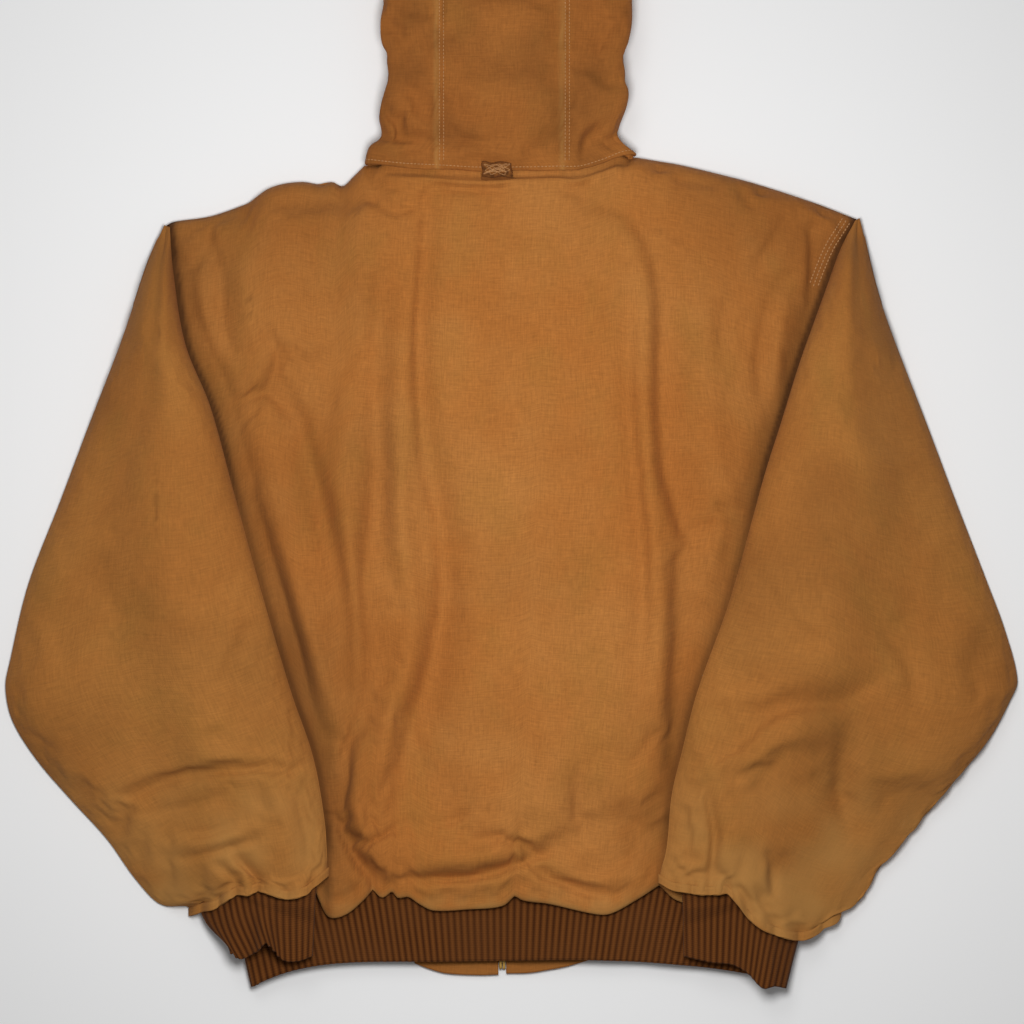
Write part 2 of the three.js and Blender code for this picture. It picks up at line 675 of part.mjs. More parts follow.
const sleeves = new THREE.Group();
for (const [name, side] of Object.entries(SIDES)) {
  sleeves.add(
    part(`sleeve_${name}_under`, sleeveLayer(side, false), sleeveDuck),
    part(`sleeve_${name}_top`, sleeveLayer(side, true), sleeveDuck),
    part(`sleeve_${name}_lining`, sleeveLining(side), quilt),
    part(`cuff_${name}`, cuff(side, CUFFS[name]), rib),
  );
}

// The part's origin is the middle of its footprint.
const jacket = new THREE.Group();
jacket.add(torso, slider, hood, sleeves);
const box = new THREE.Box3().setFromObject(jacket);
const middle = box.getCenter(point());
for (const group of jacket.children) group.position.set(-middle.x, -middle.y, -box.min.z);

export default jacket;
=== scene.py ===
"""A hooded work jacket of brown cotton duck, lying face down with its sleeves folded over its back.

Shapes are drawn in millimetres in the jacket's own layout: X = 0 on the zip, +X on the wearer's
right, Y = 0 at the neck seam, +Y towards the hood, Z = 0 on the floor. place() turns them into
the frame's metres.
"""

import math

import bpy
import numpy as np
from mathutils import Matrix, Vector


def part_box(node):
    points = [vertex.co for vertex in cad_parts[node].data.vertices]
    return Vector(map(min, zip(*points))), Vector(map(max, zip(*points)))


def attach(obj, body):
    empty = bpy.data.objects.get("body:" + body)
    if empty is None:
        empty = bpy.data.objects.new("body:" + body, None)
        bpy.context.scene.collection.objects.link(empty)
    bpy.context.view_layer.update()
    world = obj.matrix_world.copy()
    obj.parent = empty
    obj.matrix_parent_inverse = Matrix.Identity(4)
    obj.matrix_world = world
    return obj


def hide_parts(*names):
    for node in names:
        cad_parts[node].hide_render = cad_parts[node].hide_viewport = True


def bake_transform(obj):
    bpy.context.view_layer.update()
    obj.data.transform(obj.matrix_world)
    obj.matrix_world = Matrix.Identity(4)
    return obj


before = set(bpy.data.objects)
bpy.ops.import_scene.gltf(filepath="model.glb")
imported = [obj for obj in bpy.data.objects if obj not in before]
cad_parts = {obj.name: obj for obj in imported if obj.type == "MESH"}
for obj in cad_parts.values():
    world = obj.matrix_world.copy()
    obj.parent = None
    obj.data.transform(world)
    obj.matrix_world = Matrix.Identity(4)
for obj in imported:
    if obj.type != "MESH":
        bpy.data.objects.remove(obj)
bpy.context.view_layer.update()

MM = 0.001
LEFT, RIGHT = -1, 1
NAMES = {LEFT: "left", RIGHT: "right"}


def corner(node, which, axis):
    """One coordinate of a CAD node's low (0) or high (1) corner, in the frame's millimetres."""
    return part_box(node)[which][axis] / MM


# The layout's origin in the frame
ZIP_X = (corner("zipper_chain_left", 0, 0) + corner("zipper_chain_right", 1, 0)) / 2
NECK_Y = corner("back_panel", 1, 1)
ORIGIN = np.array([ZIP_X, NECK_Y, 0])

# Cloth, mm
DUCK = 1.5
LINING = 2.2
RIB = 3.0
SEAM_Z = 4.9  # underside of the back at its edges
FRONT_Z = 3.0  # underside of the fronts
CROWN = 27  # how far the back stands above its edges
BAND_TOP = 17  # top of the waistband
BAND_HALF = 228  # half the waistband's width
BAND_FOOT = -712  # a sleeve sinks to the floor past this Y
NECK_HALF = 117  # half the width of the neck, from X = -4 on the back
NECK_DROP = 86  # how far the neckline dips at the zip
ZIP_GAP = 3.4  # from the zip's middle to the fronts' edges
CLEAR = 3.0  # between a sleeve and what it lies on
RIB_PITCH = 5.7
GRID = 3.0  # spacing of the points of the shell fabrics


# ---------------------------------------------------------------------------------------
# Curves, noise and folds


def lerp(a, b, t):
    return a + (b - a) * t


def smooth(t):
    t = np.clip(t, 0, 1)
    return t * t * (3 - 2 * t)


def circ(t):
    """Rises from 0 to 1 like a quarter circle."""
    return np.sqrt(1 - (1 - np.clip(t, 0, 1)) ** 2)


def rise(t):
    return np.sin(np.pi / 2 * np.clip(t, 0, 1))


def spline(points, steps=12):
    """A smooth curve through the points, as many short steps."""
    p = np.array(points, float)
    if len(p) == 2:
        return p[0] + (p[1] - p[0]) * np.linspace(0, 1, steps + 1)[:, None]
    p = np.vstack([2 * p[0] - p[1], p, 2 * p[-1] - p[-2]])
    t = np.linspace(0, 1, steps, endpoint=False)[:, None]
    out = []
    for a, b, c, d in zip(p[:-3], p[1:-2], p[2:-1], p[3:]):
        far = np.linalg.norm(c - b)
        tb = (c - a) / (np.linalg.norm(b - a) + far + 1e-9) * far
        tc = (d - b) / (np.linalg.norm(d - c) + far + 1e-9) * far
        out.append(
            b * (2 * t**3 - 3 * t**2 + 1) + tb * (t**3 - 2 * t**2 + t)
            + c * (3 * t**2 - 2 * t**3) + tc * (t**3 - t**2)
        )
    return np.vstack([*out, p[-2][None]])


def trace(points, count, *more):
    """count points evenly spaced along one smooth curve, or along several joined at corners."""
    path = np.vstack([spline(part) for part in (points, *more)])
    length = np.r_[0, np.cumsum(np.linalg.norm(np.diff(path, axis=0), axis=1))]
    at = np.linspace(0, length[-1], count)
    return np.stack([np.interp(at, length, path[:, k]) for k in range(path.shape[1])], 1)


def patch(top, bottom, left, right):
    """A grid of points between four curves that meet at their ends: rows run from top to bottom."""
    u = np.linspace(0, 1, len(top))[None, :, None]
    v = np.linspace(0, 1, len(left))[:, None, None]
    across = lerp(left[:, None], right[:, None], u)
    along = lerp(top[None], bottom[None], v)
    flat = lerp(lerp(top[0], top[-1], u), lerp(bottom[0], bottom[-1], u), v)
    return across + along - flat


def noise(x, y, size, seed):
    """Smooth noise from -1 to 1 with features of about this size."""
    table = np.random.default_rng(seed).uniform(-1, 1, (64, 64))
    x, y = x / size, y / size
    i, j = np.floor(x).astype(int), np.floor(y).astype(int)
    u, v = smooth(x - i), smooth(y - j)
    pick = lambda a, b: table[(i + a) % 64, (j + b) % 64]
    return lerp(lerp(pick(0, 0), pick(1, 0), u), lerp(pick(0, 1), pick(1, 1), u), v)


def fold(x, y, path, width, height, lean=0.0):
    """Height of a fold along path, tapering at its ends, steeper on one side if it leans."""
    p = trace(path, 20)
    best = np.full(x.shape, 1e9)
    share = np.zeros(x.shape)
    side = np.zeros(x.shape)
    for k, (a, b) in enumerate(zip(p[:-1], p[1:])):
        d = b - a
        t = np.clip(((x - a[0]) * d[0] + (y - a[1]) * d[1]) / (d @ d), 0, 1)
        dx, dy = x - a[0] - t * d[0], y - a[1] - t * d[1]
        away = np.hypot(dx, dy)
        near = away < best
        best = np.where(near, away, best)
        share = np.where(near, (k + t) / (len(p) - 1), share)
        side = np.where(near, np.sign(d[0] * dy - d[1] * dx), side)
    wide = width * (1 + lean * side)
    return height * np.exp(-((best / wide) ** 2)) * np.sin(np.pi * lerp(0.08, 0.92, share)) ** 0.6


# ---------------------------------------------------------------------------------------
# Outlines of the body as it lies

NECK = [
    (-121, 2), (-90, -2), (-57, -4), (-18, -6), (10, -6),
    (49, -5), (66, -5), (87, 1), (104, 8), (114, 10),
]
SHOULDERS = {
    LEFT: (
        [(-294, -50), (-288, -47), (-255, -42), (-223, -31)],
        [(-223, -31), (-203, -17), (-177, -12), (-157, -15)],
        [(-157, -15), (-149, -12), (-140, -16), (-131, -8), (-121, 2)],
    ),
    RIGHT: ([(114, 10), (137, 6), (155, 3), (189, -5), (223, -14), (275, -31), (311, -45)],),
}
SIDE_EDGES = {
    LEFT: [(-294, -50), (-298, -110), (-302, -200), (-320, -275), (-306, -380), (-268, -520), (-250, -632)],
    RIGHT: [(311, -45), (308, -110), (314, -200), (332, -269), (314, -380), (274, -520), (250, -628)],
}
# The hem hangs over the waistband in bags between the points where it is gathered.
HEM = (
    [(-250, -632), (-236, -645), (-205, -650), (-178, -640), (-166, -622)],
    [(-166, -622), (-160, -640), (-151, -655), (-137, -653), (-122, -641), (-113, -631)],
    [(-113, -631), (-105, -638), (-96, -632)],
    [(-96, -632), (-91, -638), (-82, -637), (-73, -643), (-60, -649), (-30, -648), (0, -645), (11, -636)],
    [(11, -636), (18, -640), (40, -643), (80, -652), (94, -652), (115, -641), (137, -627)],
    [(137, -627), (152, -640), (190, -650), (232, -644), (250, -628)],
)
# Each sleeve lies folded over the back: its two long edges, its cuff edge and its folds.
SLEEVES = {
    LEFT: {
        "outer": [(-296, -50), (-311, -84), (-335, -153), (-362, -223), (-388, -292), (-416, -365),
                  (-432, -432), (-436, -455), (-430, -484), (-409, -518), (-379, -553), (-347, -588),
                  (-322, -623), (-298, -648), (-274, -656)],
        "inner": [(-291, -52), (-287, -91), (-276, -155), (-254, -209), (-233, -284), (-208, -374),
                  (-183, -458), (-164, -514), (-154, -570), (-152, -606), (-152, -618)],
        "end": (
            [(-274, -656), (-262, -651), (-250, -647), (-240, -640), (-230, -634), (-220, -634),
             (-212, -630)],
            [(-212, -630), (-201, -633), (-187, -637), (-172, -634), (-163, -627), (-152, -618)],
        ),
        "folds": (
            ([(-320, -547), (-275, -532), (-218, -524), (-180, -526)], 7, -2.8, 0.4),
            ([(-310, -564), (-275, -558), (-245, -551)], 5, -1.6, 0.4),
            ([(-275, -603), (-247, -596), (-214, -587)], 4.5, -3.2, 0.5),
            ([(-268, -582), (-250, -580), (-236, -575)], 5, -2.2, 0.4),
            ([(-285, -590), (-250, -588), (-225, -580)], 8, 2.0, 0.0),
            ([(-232, -597), (-222, -610), (-212, -628)], 5, -4.0, 0.3),
            ([(-245, -606), (-234, -618), (-228, -632)], 5, -3.0, 0.0),
            ([(-234, -410), (-226, -450), (-216, -490)], 12, -1.8, 0.2),
            ([(-200, -530), (-190, -560), (-186, -600)], 12, 2.5, 0.0),
            ([(-178, -545), (-170, -580), (-168, -618)], 5, -1.8, 0.0),
            ([(-262, -180), (-250, -240), (-232, -300)], 10, 1.5, 0.0),
        ),
        "gathers": ((-212, 30), (-232, 26), (-262, 18), (-245, 14), (-187, 10), (-166, 16)),
    },
    RIGHT: {
        "outer": [(313, -44), (327, -101), (345, -153), (372, -223), (398, -292), (425, -362),
                  (441, -405), (452, -449), (446, -466), (427, -501), (398, -536), (367, -571),
                  (335, -606), (312, -638), (297, -648)],
        "inner": [(309, -46), (295, -72), (283, -104), (272, -134), (259, -170), (242, -224),
                  (228, -268), (197, -379), (169, -458), (156, -509), (147, -547), (143, -590), (137, -624)],
        "end": (
            [(297, -648), (293, -660), (281, -666), (270, -673), (258, -675), (240, -670), (226, -664),
             (214, -655), (204, -642), (195, -632)],
            [(195, -632), (185, -633), (172, -633), (157, -631), (146, -629), (137, -624)],
        ),
        "folds": (
            ([(204, -505), (222, -482), (250, -468), (290, -465), (322, -450)], 10, -4.0, 0.4),
            ([(215, -520), (240, -496), (275, -486), (305, -486)], 14, 2.4, 0.0),
            ([(334, -410), (352, -433), (356, -462)], 9, -2.6, 0.2),
            ([(294, -490), (292, -530), (297, -560), (305, -582)], 9, -3.0, 0.3),
            ([(278, -500), (272, -540), (276, -580)], 13, 1.8, 0.0),
            ([(318, -480), (316, -520), (318, -560)], 13, 2.0, 0.0),
            ([(205, -500), (202, -520), (203, -540)], 9, -2.4, 0.0),
            ([(177, -540), (183, -575), (182, -600), (180, -622)], 5, -4.2, 0.3),
            ([(232, -600), (236, -612), (237, -632)], 4.5, -2.6, 0.0),
            ([(160, -560), (163, -600), (166, -628)], 6, -2.0, 0.0),
        ),
        "gathers": ((180, 34), (164, 22), (195, 26), (236, 24), (214, 16), (258, 14), (280, 18), (150, 14)),
    },
}


def line_of(parts, count=400):
    """One line along several curves that are joined at corners."""
    return trace(parts[0], count, *parts[1:])


TOP_LINE = line_of((*SHOULDERS[LEFT], NECK, *SHOULDERS[RIGHT]))
HEM_LINE = line_of(HEM)


def top_y(x):
    """Where the shoulders and the neck seam end the back."""
    return np.interp(x, TOP_LINE[:, 0], TOP_LINE[:, 1])


def hem_y(x):
    """The hem without its scallops."""
    return -648 + 22 * (x / 250) ** 2


def edge_x(side, y):
    """X of a side edge at a height."""
    line = trace(SIDE_EDGES[side], 200)[::-1]
    return np.interp(y, line[:, 1], line[:, 0])


def inside(x, y):
    """How far a point lies inside the nearer side edge."""
    return np.minimum(x - edge_x(LEFT, y), edge_x(RIGHT, y) - x)


def neckline_y(x):
    """The neck edge of the fronts, below the neck seam."""
    return -NECK_DROP * (1 - np.clip(np.abs(x) / 113, 0, 1) ** 2)


def rolled(distance, width):
    """Share of the full height at a distance in from a folded edge."""
    return 0.42 * circ(distance / 13) + 0.58 * rise(distance / width)


def back_z(x, y):
    """Underside of the back without its folds."""
    neck = np.sqrt(np.clip(1 - (np.abs(x + 4) / NECK_HALF) ** 4, 0, 1))
    from_top = np.maximum(neck, rolled(top_y(x) - y, 70))
    from_hem = 1 - 0.3 * (1 - rise((y - hem_y(x)) / 60))
    return SEAM_Z + CROWN * rolled(inside(x, y), 120) * from_top * from_hem


def ground_z(x, y):
    """What a sleeve lies on, sloping to the floor beyond the body."""
    past = lambda distance: np.minimum(0, distance + 6)
    body = back_z(x, np.maximum(y, hem_y(x))) + DUCK
    body = body + 0.5 * (past(inside(x, y)) + past(top_y(x) - y) + past(y - hem_y(x)))
    band = BAND_TOP + 0.5 * (past(BAND_HALF - np.abs(x)) + past(hem_y(x) - y) + past(y - BAND_FOOT))
    return np.maximum(0, np.maximum(body, band) + CLEAR)


# ---------------------------------------------------------------------------------------
# Meshes


def place(points):
    """Layout millimetres to the frame's metres."""
    return (np.asarray(points, float) + ORIGIN) * MM


def normals(p, ring=False):
    """Unit normals of a grid, whose columns close on themselves if it is a ring."""
    if ring:
        wide = np.concatenate([p[:, -1:], p, p[:, :1]], 1)
        du = wide[:, 2:] - wide[:, :-2]
    else:
        du = np.gradient(p, axis=1)
    dv = np.gradient(p, axis=0)
    n = np.cross(du, dv)
    return n / (np.linalg.norm(n, axis=2, keepdims=True) + 1e-12)


def faces_away(p, facing, ring=False):
    """Whether a grid's normals point against "up", "down" or, for one that curls round, "out"."""
    if facing == "out":
        way = p - p.mean(1, keepdims=True)
    else:
        way = np.array([0, 0, 1 if facing == "up" else -1])
    return (normals(p, ring) * way).sum() < 0


def grid_faces(rows, columns, start, ring, flip):
    """Quads of a grid of vertices."""
    wide = columns if ring else columns - 1
    i, j = np.meshgrid(np.arange(rows - 1), np.arange(wide), indexing="ij")
    a = start + i * columns + j
    b = start + i * columns + (j + 1) % columns
    quads = np.stack([a, b, b + columns, a + columns], -1).reshape(-1, 4)
    return quads[:, ::-1] if flip else quads


def new_object(name, points, faces, finish, smooth_faces=True):
    mesh = bpy.data.meshes.new(name)
    mesh.from_pydata(place(points).tolist(), [], [list(map(int, f)) for f in faces])
    mesh.validate()
    mesh.update()
    if smooth_faces:
        mesh.polygons.foreach_set("use_smooth", [True] * len(mesh.polygons))
    made = bpy.data.objects.new(name, mesh)
    bpy.context.scene.collection.objects.link(made)
    if finish:
        mesh.materials.append(finish)
    return made


def attribute(made, name, values, kind="FLOAT"):
    layer = made.data.attributes.new(name, kind, "POINT")
    field = "vector" if kind == "FLOAT_VECTOR" else "value"
    layer.data.foreach_set(field, np.asarray(values, np.float32).ravel())


def cloth_lengths(p):
    """Distances along a grid's columns and rows, in metres: the cloth's own coordinates."""
    across = np.linalg.norm(np.diff(p, axis=1), axis=2)
    down = np.linalg.norm(np.diff(p, axis=0), axis=2)
    across = np.tile(across.mean(0), (len(p), 1))
    down = np.tile(down.mean(1)[:, None], (1, p.shape[1]))
    u = np.hstack([np.zeros((len(p), 1)), np.cumsum(across, 1)])
    v = np.vstack([np.zeros((1, p.shape[1])), np.cumsum(down, 0)])
    return np.stack([u, v, 0 * u], 2) * MM


def sheet(name, outer, thick, finish, ring=False, marks=None, inner=None, facing=None):
    """A closed sheet of cloth from the grid of its outer face. marks are values for its points."""
    rows, columns = outer.shape[:2]
    marks = {mark: np.broadcast_to(values, (rows, columns)) for mark, values in (marks or {}).items()}
    if faces_away(outer, facing or ("out" if ring else "up"), ring):
        outer = outer[:, ::-1]
        inner = None if inner is None else inner[:, ::-1]
        marks = {mark: values[:, ::-1] for mark, values in marks.items()}
    if inner is None:
        inner = outer - normals(outer, ring) * thick
    count = rows * columns
    faces = [grid_faces(rows, columns, 0, ring, False), grid_faces(rows, columns, count, ring, True)]
    last = (rows - 1) * columns
    wide = columns if ring else columns - 1
    for j in range(wide):
        k = (j + 1) % columns
        faces.append([[j, count + j, count + k, k]])
        faces.append([[last + k, count + last + k, count + last + j, last + j]])
    if not ring:
        for i in range(rows - 1):
            a, b = i * columns, (i + 1) * columns
            faces.append([[a, b, count + b, count + a]])
            a, b = a + columns - 1, b + columns - 1
            faces.append([[b, a, count + a, count + b]])
    points = np.concatenate([outer.reshape(-1, 3), inner.reshape(-1, 3)])
    made = new_object(name, points, np.concatenate(faces), finish)
    attribute(made, "cloth", np.tile(cloth_lengths(outer).reshape(-1, 3), (2, 1)), "FLOAT_VECTOR")
    for mark, values in marks.items():
        attribute(made, mark, np.tile(values.ravel(), 2))
    return made


def ring_of(upper, lower):
    """The ring grid round two layers that share their first and last columns."""
    return np.concatenate([upper[:, :-1], lower[:, :0:-1]], 1)


def settle(grid, held, push, spare, cap, facing="up", frames=14):
    """The grid after a short cloth simulation: push is air behind it, spare is its slack."""
    rows, columns = grid.shape[:2]
    faces = grid_faces(rows, columns, 0, False, faces_away(grid, facing))
    made = new_object("settling", grid.reshape(-1, 3), faces, None)
    pins = made.vertex_groups.new(name="held")
    for index, weight in enumerate(held.ravel()):
        if weight > 0:
            pins.add([index], float(weight), "REPLACE")
    cloth = made.modifiers.new("cloth", "CLOTH")
    cloth.settings.vertex_group_mass = "held"
    cloth.settings.pin_stiffness = 1.0
    cloth.settings.quality = 5
    cloth.settings.mass = 0.3
    cloth.settings.tension_stiffness = 15
    cloth.settings.compression_stiffness = 15
    cloth.settings.bending_stiffness = 0.6
    cloth.settings.shrink_min = -spare
    cloth.settings.use_pressure = True
    cloth.settings.uniform_pressure_force = push
    cloth.settings.effector_weights.gravity = 0
    cloth.collision_settings.use_collision = False
    cloth.point_cache.frame_start = 1
    cloth.point_cache.frame_end = frames
    scene = bpy.context.scene
    for number in range(1, frames + 1):
        scene.frame_set(number)
    shape = made.evaluated_get(bpy.context.evaluated_depsgraph_get()).to_mesh()
    out = np.empty(len(shape.vertices) * 3)
    shape.vertices.foreach_get("co", out)
    scene.frame_set(1)
    bpy.data.objects.remove(made)
    out = out.reshape(rows, columns, 3) / MM - ORIGIN
    moved = out - grid
    far = np.linalg.norm(moved, axis=2, keepdims=True)
    return grid + moved * np.minimum(1, cap / (far + 1e-9))


def finer(values, rows, columns):
    """A grid sampled smoothly at more rows and columns."""
    def along(grid, count):
        t = np.linspace(0, len(grid) - 1, count)
        i = np.clip(np.floor(t).astype(int), 0, len(grid) - 2)
        f = (t - i).reshape(-1, *([1] * (grid.ndim - 1)))
        at = lambda k: grid[np.clip(i + k, 0, len(grid) - 1)]
        slope = (at(1) - at(-1)) / 2, (at(2) - at(0)) / 2
        return (
            at(0) * (2 * f**3 - 3 * f**2 + 1) + slope[0] * (f**3 - 2 * f**2 + f)
            + at(1) * (3 * f**2 - 2 * f**3) + slope[1] * (f**3 - f**2)
        )
    return along(along(values, rows).swapaxes(0, 1), columns).swapaxes(0, 1)


def stitches(name, path, finish, pitch=3.2, length=2.3, radius=0.35, lift=0.1):
    """Thread along a path of points in layout millimetres: one small bead for each stitch."""
    far = np.linalg.norm(np.diff(path, axis=0), axis=1)
    at = np.r_[0, np.cumsum(far)]
    starts = np.arange(pitch / 2, at[-1] - pitch / 2, pitch)
    spot = lambda s: np.array([np.interp(s, at, path[:, k]) for k in range(3)])
    points, faces = [], []
    for s in starts:
        a, b = spot(s - length / 2), spot(s + length / 2)
        way = (b - a) / np.linalg.norm(b - a)
        side = np.cross(way, (0, 0, 1))
        side /= np.linalg.norm(side)
        up = np.cross(side, way)
        base = len(points)
        for share, wide, high in ((0, 0.45, -0.6), (0.25, 1, 0), (0.75, 1, 0), (1, 0.45, -0.6)):
            middle = a + (b - a) * share + up * (lift + high * radius)
            for k in range(6):
                turn = math.pi * k / 3
                points.append(middle + radius * wide * (side * math.cos(turn) + up * math.sin(turn)))
        for ring in range(3):
            for k in range(6):
                p, q = base + ring * 6 + k, base + ring * 6 + (k + 1) % 6
                faces.append((p, q, q + 6, p + 6))
        faces.append(tuple(base + k for k in reversed(range(6))))
        faces.append(tuple(base + 18 + k for k in range(6)))
    return new_object(name, np.array(points), faces, finish)


def on_surface(made, flat, lift=0.0):
    """Points of a path on top of a piece, from their X and Y."""
    out = []
    for x, y in flat:
        start = Vector(place((x, y, 150)))
        hit, spot, _, _ = made.ray_cast(start, Vector((0, 0, -1)))
        if hit:
            out.append((x, y, spot.z / MM + lift))
    return np.array(out)


# ---------------------------------------------------------------------------------------
# Materials


def srgb(red, green, blue):
    """Linear colour from screen values of 0 to 255."""
    out = [((c / 255 + 0.055) / 1.055) ** 2.4 if c > 10 else c / 255 / 12.92 for c in (red, green, blue)]
    return (*out, 1)


class Finish:
    """A material under construction: each call adds a node and links or sets its inputs."""

    def __init__(self, name):
        self.material = bpy.data.materials.new(name)
        self.material.use_nodes = True
        self.tree = self.material.node_tree
        self.shader = self.tree.nodes["Principled BSDF"]

    def add(self, kind, inputs=None, **settings):
        node = self.tree.nodes.new("ShaderNode" + kind)
        for key, value in settings.items():
            setattr(node, key, value)
        for key, value in (inputs or {}).items():
            self.set(node, key, value)
        return node

    def set(self, node, key, value):
        if isinstance(value, bpy.types.NodeSocket):
            self.tree.links.new(value, node.inputs[key])
        else:
            node.inputs[key].default_value = value

    def shade(self, **inputs):
        for key, value in inputs.items():
            self.set(self.shader, key.replace("_", " "), value)

    def math(self, operation, a, b=0.0):
        return self.add("Math", {0: a, 1: b}, operation=operation).outputs[0]

    def plus(self, a, b):
        return self.math("ADD", a, b)

    def less(self, a, b):
        return self.math("SUBTRACT", a, b)

    def times(self, a, b):
        return self.math("MULTIPLY", a, b)

    def sine(self, a):
        return self.math("SINE", a)

    def mix(self, share, a, b):
        return self.add("Mix", {0: share, 6: a, 7: b}, data_type="RGBA").outputs[2]

    def noise(self, where, scale, detail=3.0, rough=0.55):
        inputs = {"Vector": where, "Scale": scale, "Detail": detail, "Roughness": rough}
        return self.add("TexNoise", inputs).outputs["Fac"]

    def between(self, value, low, high):
        """0 below low, 1 above high."""
        node = self.add("MapRange", {"Value": value, "From Min": low, "From Max": high})
        node.interpolation_type = "SMOOTHSTEP"
        return node.outputs[0]

    def stretched(self, where, x, y):
        return self.add("Mapping", {"Vector": where, "Scale": (x, y, 1)}).outputs[0]

    def mark(self, name):
        return self.add("Attribute", attribute_name=name).outputs["Fac"]


def duck(name, main, warm, olive, yarn=1.1):
    """Plain-woven cotton duck: yarns, slubs, mottled dye and, where it is marked, wear with a painted
    highlight and dirt with painted shade.
    """
    f = Finish(name)
    cloth = f.add("Attribute", attribute_name="cloth").outputs["Vector"]
    split = f.add("SeparateXYZ", {0: cloth}).outputs
    drift = f.noise(cloth, 90, 2)
    turn = 2 * math.pi / (yarn * MM)
    waves = [f.sine(f.plus(f.times(split[k], turn), f.times(drift, 5))) for k in (0, 1)]
    weave = f.times(waves[0], waves[1])
    slub = f.noise(f.stretched(cloth, 900, 60), 1, 2)
    slub = f.plus(slub, f.noise(f.stretched(cloth, 60, 900), 1, 2))
    slub = f.times(slub, 0.5)
    broad = f.noise(cloth, 5.5, 4, 0.6)
    colour = f.mix(f.between(broad, 0.36, 0.66), warm, main)
    patchy = f.noise(f.stretched(cloth, 14, 9), 1, 5, 0.62)
    colour = f.mix(f.times(f.between(patchy, 0.46, 0.72), 0.55), colour, olive)
    fine = f.noise(cloth, 300, 3, 0.7)
    grain = f.plus(f.times(weave, 0.10), f.times(f.less(slub, 0.5), 0.9))
    grain = f.plus(grain, f.times(f.less(fine, 0.5), 0.35))
    light = f.plus(grain, 1)
    shaded = f.add("VectorMath", {0: colour, 3: light}, operation="SCALE").outputs[0]
    # Where marked, the cloth turns lighter: wear, and along the back's hem roll a painted highlight.
    worn_and_lit = f.mix(f.mark("wear_and_highlight"), shaded, srgb(178, 130, 70))
    # Where marked, the cloth darkens towards dark brown: dirt in places, and painted shade and painted shadow
    # in others, such as beside the sleeves on the back.
    soiled_and_shaded = f.mix(f.mark("soil_and_shade"), worn_and_lit, srgb(66, 38, 17))
    bump = f.plus(f.times(weave, 0.5), f.times(slub, 1.6))
    bump = f.plus(bump, f.times(fine, 0.5))
    normal = f.add("Bump", {"Height": bump, "Distance": 0.00035, "Strength": 0.55}).outputs[0]
    rough = f.plus(f.times(fine, 0.12), 0.8)
    f.shade(Base_Color=soiled_and_shaded, Roughness=rough, Normal=normal)
    f.shade(Sheen_Weight=0.02, Sheen_Roughness=0.5, Specular_IOR_Level=0.12)
    return f.material


def rib_knit(name, high, low):
    """Rib knit: its ribs are in the mesh, the stitches of each rib are here; its ridges are painted lighter
    and its grooves darker, painted light and shade.
    """
    f = Finish(name)
    cloth = f.add("Attribute", attribute_name="cloth").outputs["Vector"]
    split = f.add("SeparateXYZ", {0: cloth}).outputs
    loops = f.sine(f.times(split[1], 2 * math.pi / (1.7 * MM)))
    fuzz = f.noise(f.stretched(cloth, 900, 500), 1, 3, 0.7)
    # The ridge mark gives the ridges the lighter brown and the grooves the darker one: painted light and
    # shade on one yarn.
    colour = f.mix(f.mark("ridge"), low, high)
    broad = f.noise(cloth, 12, 3)
    colour = f.mix(f.times(f.between(broad, 0.35, 0.7), 0.35), colour, srgb(98, 58, 28))
    light = f.plus(f.times(loops, 0.05), f.plus(f.times(fuzz, 0.5), 0.75))
    shaded = f.add("VectorMath", {0: colour, 3: light}, operation="SCALE").outputs[0]
    height = f.plus(f.times(loops, 0.4), fuzz)
    normal = f.add("Bump", {"Height": height, "Distance": 0.0004, "Strength": 0.7}).outputs[0]
    f.shade(Base_Color=shaded, Roughness=0.92, Normal=normal)
    f.shade(Sheen_Weight=0.04, Sheen_Roughness=0.4, Specular_IOR_Level=0.1)
    return f.material


def smooth_cloth(name, colour, deep, thread=0.4):
    """Fine lining, tape or label cloth."""
    f = Finish(name)
    cloth = f.add("Attribute", attribute_name="cloth").outputs["Vector"]
    split = f.add("SeparateXYZ", {0: cloth}).outputs
    turn = 2 * math.pi / (thread * MM)
    waves = [f.sine(f.times(split[k], turn)) for k in (0, 1)]
    weave = f.times(waves[0], waves[1])
    cloudy = f.noise(cloth, 25, 4)
    shaded = f.mix(f.between(cloudy, 0.3, 0.7), deep, colour)
    normal = f.add("Bump", {"Height": weave, "Distance": 0.0001, "Strength": 0.4}).outputs[0]
    f.shade(Base_Color=shaded, Roughness=0.55, Normal=normal, Sheen_Weight=0.15)
    return f.material


def brass(name):
    f = Finish(name)
    where = f.add("TexCoord").outputs["Object"]
    stain = f.noise(where, 180, 5, 0.65)
    scratch = f.noise(f.stretched(where, 2600, 300), 1, 3)
    colour = f.mix(f.between(stain, 0.4, 0.7), srgb(196, 156, 82), srgb(120, 88, 44))
    rough = f.plus(f.times(stain, 0.35), 0.18)
    normal = f.add("Bump", {"Height": scratch, "Distance": 0.00005, "Strength": 0.3}).outputs[0]
    f.shade(Base_Color=colour, Roughness=rough, Normal=normal, Metallic=1.0)
    return f.material


def thread(name, colour, deep):
    f = Finish(name)
    where = f.add("TexCoord").outputs["Object"]
    twist = f.noise(where, 1500, 2)
    shaded = f.mix(f.between(twist, 0.35, 0.65), deep, colour)
    normal = f.add("Bump", {"Height": twist, "Distance": 0.0001, "Strength": 0.4}).outputs[0]
    f.shade(Base_Color=shaded, Roughness=0.6, Normal=normal, Sheen_Weight=0.2)
    return f.material


